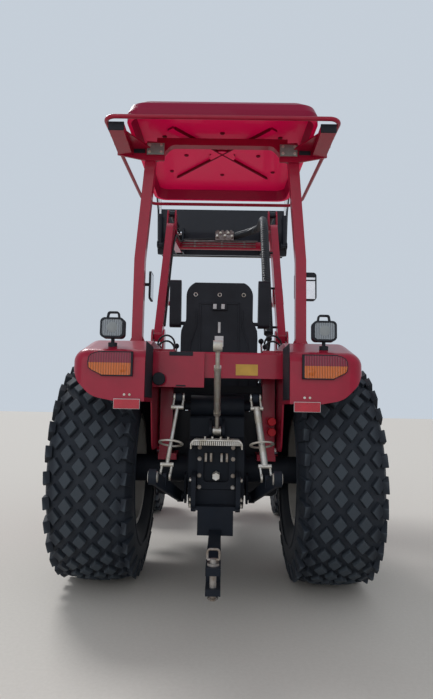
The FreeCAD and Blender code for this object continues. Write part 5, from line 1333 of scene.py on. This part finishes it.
# %% Lines and valve
TUBE_AHEAD = 2.5502
TUBE_HEIGHT = 2.7753
VALVE_FACE = 2.5002
VALVE_ENDS = ((-0.055, 2.868), (-0.018, 2.902), (0.030, 2.872), (0.068, 2.905), (0.108, 2.868))
bm = bmesh.new()
for drop, back in ((-0.024, 0.047), (0.002, 0.053), (0.027, 0.046)):
    y = TUBE_AHEAD - back
    z = TUBE_HEIGHT + drop
    rod(bm, spot(-0.440, y, z), spot(0.375, y, z), 0.0055, 14)
    for x in (-0.30, 0.0, 0.25):
        block(bm, (x - 0.012, x + 0.012), (y - 0.008, y + 0.004), (z - 0.008, z + 0.008))
finished(bm, "tube_lines", valve_steel, "boom", bevel=0.001)

bm = bmesh.new()
for x, z in VALVE_ENDS:
    face = spot(x, VALVE_FACE, z)
    rod(bm, face, face - Vector((0, 0.016, 0)), 0.0155, 6)
    rod(bm, face - Vector((0, 0.014, 0)), face - Vector((0, 0.034, 0)), 0.0105, 16)
for x in (-0.045, 0.005, 0.055, 0.100):
    rod(bm, spot(x, TUBE_AHEAD, 2.947), spot(x, TUBE_AHEAD, 2.9525), 0.013, 6)
finished(bm, "valve_fittings", zinc_steel, "boom", bevel=0.001)


# %% [markdown]
# ## Hoses at the masts
# Two short hoses bow out behind each mast and back in. One list of points serves all four, mirrored
# to its side and lifted to its height.

# %% Mast hoses
MAST_LOOP = (
    # inwards from the mast's middle, ahead, height
    (0.062, 0.985, 1.335), (0.105, 0.950, 1.370), (0.110, 0.935, 1.455), (0.050, 0.930, 1.500),
    (-0.020, 0.945, 1.465), (-0.030, 0.965, 1.395), (0.010, 0.990, 1.340),
)
bm = bmesh.new()
for s, lift in ((-1, 0.0), (-1, 0.045), (1, 0.010), (1, 0.055)):
    sweep(bm, eased([(s * (0.462 - inwards), y, z + lift) for inwards, y, z in MAST_LOOP]), 0.0075, 8)
finished(bm, "mast_hoses", hose_rubber)


# %% [markdown]
# ## Floor
# A plain pale floor catches the tractor's shadow. It isn't part of the tractor, and a faint grain
# keeps it from looking like paper.

# %% Floor
floor_bm = bmesh.new()
bmesh.ops.create_grid(floor_bm, x_segments=1, y_segments=1, size=60.0)
studio_floor = object_of(floor_bm, "studio_floor")
concrete = Finish("concrete", (0.60, 0.57, 0.53), 0.85)
grain = concrete.noise(60.0, 6.0, 0.7)
concrete.wear(concrete.mixed(grain, (0.54, 0.51, 0.47), (0.66, 0.63, 0.59)))
studio_floor.data.materials.append(concrete.material)
print("floor laid")


# %% [markdown]
# ## Light
# The world is a soft, even dome. The camera, glossy paint and glass see a pale sky, and everything
# else is lit by a nearly white one, so that no colour is tinted. One broad lamp from the front left
# models the shapes, and a weaker, wider one fills from the camera's side, so that a colour comes out
# about as it is written.

# %% Light
world = bpy.data.worlds.new("studio")
bpy.context.scene.world = world
world.use_nodes = True
sky = world.node_tree
sky.nodes.clear()
seen = sky.nodes.new("ShaderNodeBackground")
seen.inputs["Color"].default_value = (0.56, 0.62, 0.69, 1.0)
cast = sky.nodes.new("ShaderNodeBackground")
cast.inputs["Color"].default_value = (0.93, 0.96, 1.0, 1.0)
cast.inputs["Strength"].default_value = 0.62
path = sky.nodes.new("ShaderNodeLightPath")
looks_at_sky = path.outputs["Is Camera Ray"]
for ray in ("Is Glossy Ray", "Is Transmission Ray"):
    either = sky.nodes.new("ShaderNodeMath")
    either.operation = "MAXIMUM"
    sky.links.new(looks_at_sky, either.inputs[0])
    sky.links.new(path.outputs[ray], either.inputs[1])
    looks_at_sky = either.outputs[0]
chosen = sky.nodes.new("ShaderNodeMixShader")
sky.links.new(looks_at_sky, chosen.inputs[0])
sky.links.new(cast.outputs[0], chosen.inputs[1])
sky.links.new(seen.outputs[0], chosen.inputs[2])
shown = sky.nodes.new("ShaderNodeOutputWorld")
sky.links.new(chosen.outputs[0], shown.inputs["Surface"])


def soft_lamp(name, towards, strength, softness):
    """A broad, far lamp that shines along a direction."""
    lamp = bpy.data.objects.new(name, bpy.data.lights.new(name, "SUN"))
    bpy.context.scene.collection.objects.link(lamp)
    lamp.data.energy = strength
    lamp.data.angle = math.radians(softness)
    lamp.rotation_mode = "QUATERNION"
    lamp.rotation_quaternion = Vector(towards).to_track_quat("-Z", "Y")


soft_lamp("key", (0.50, -0.72, -0.95), 1.5, 18.0)
soft_lamp("fill", (0.30, 1.0, -0.10), 0.75, 60.0)
print("lamps hung")
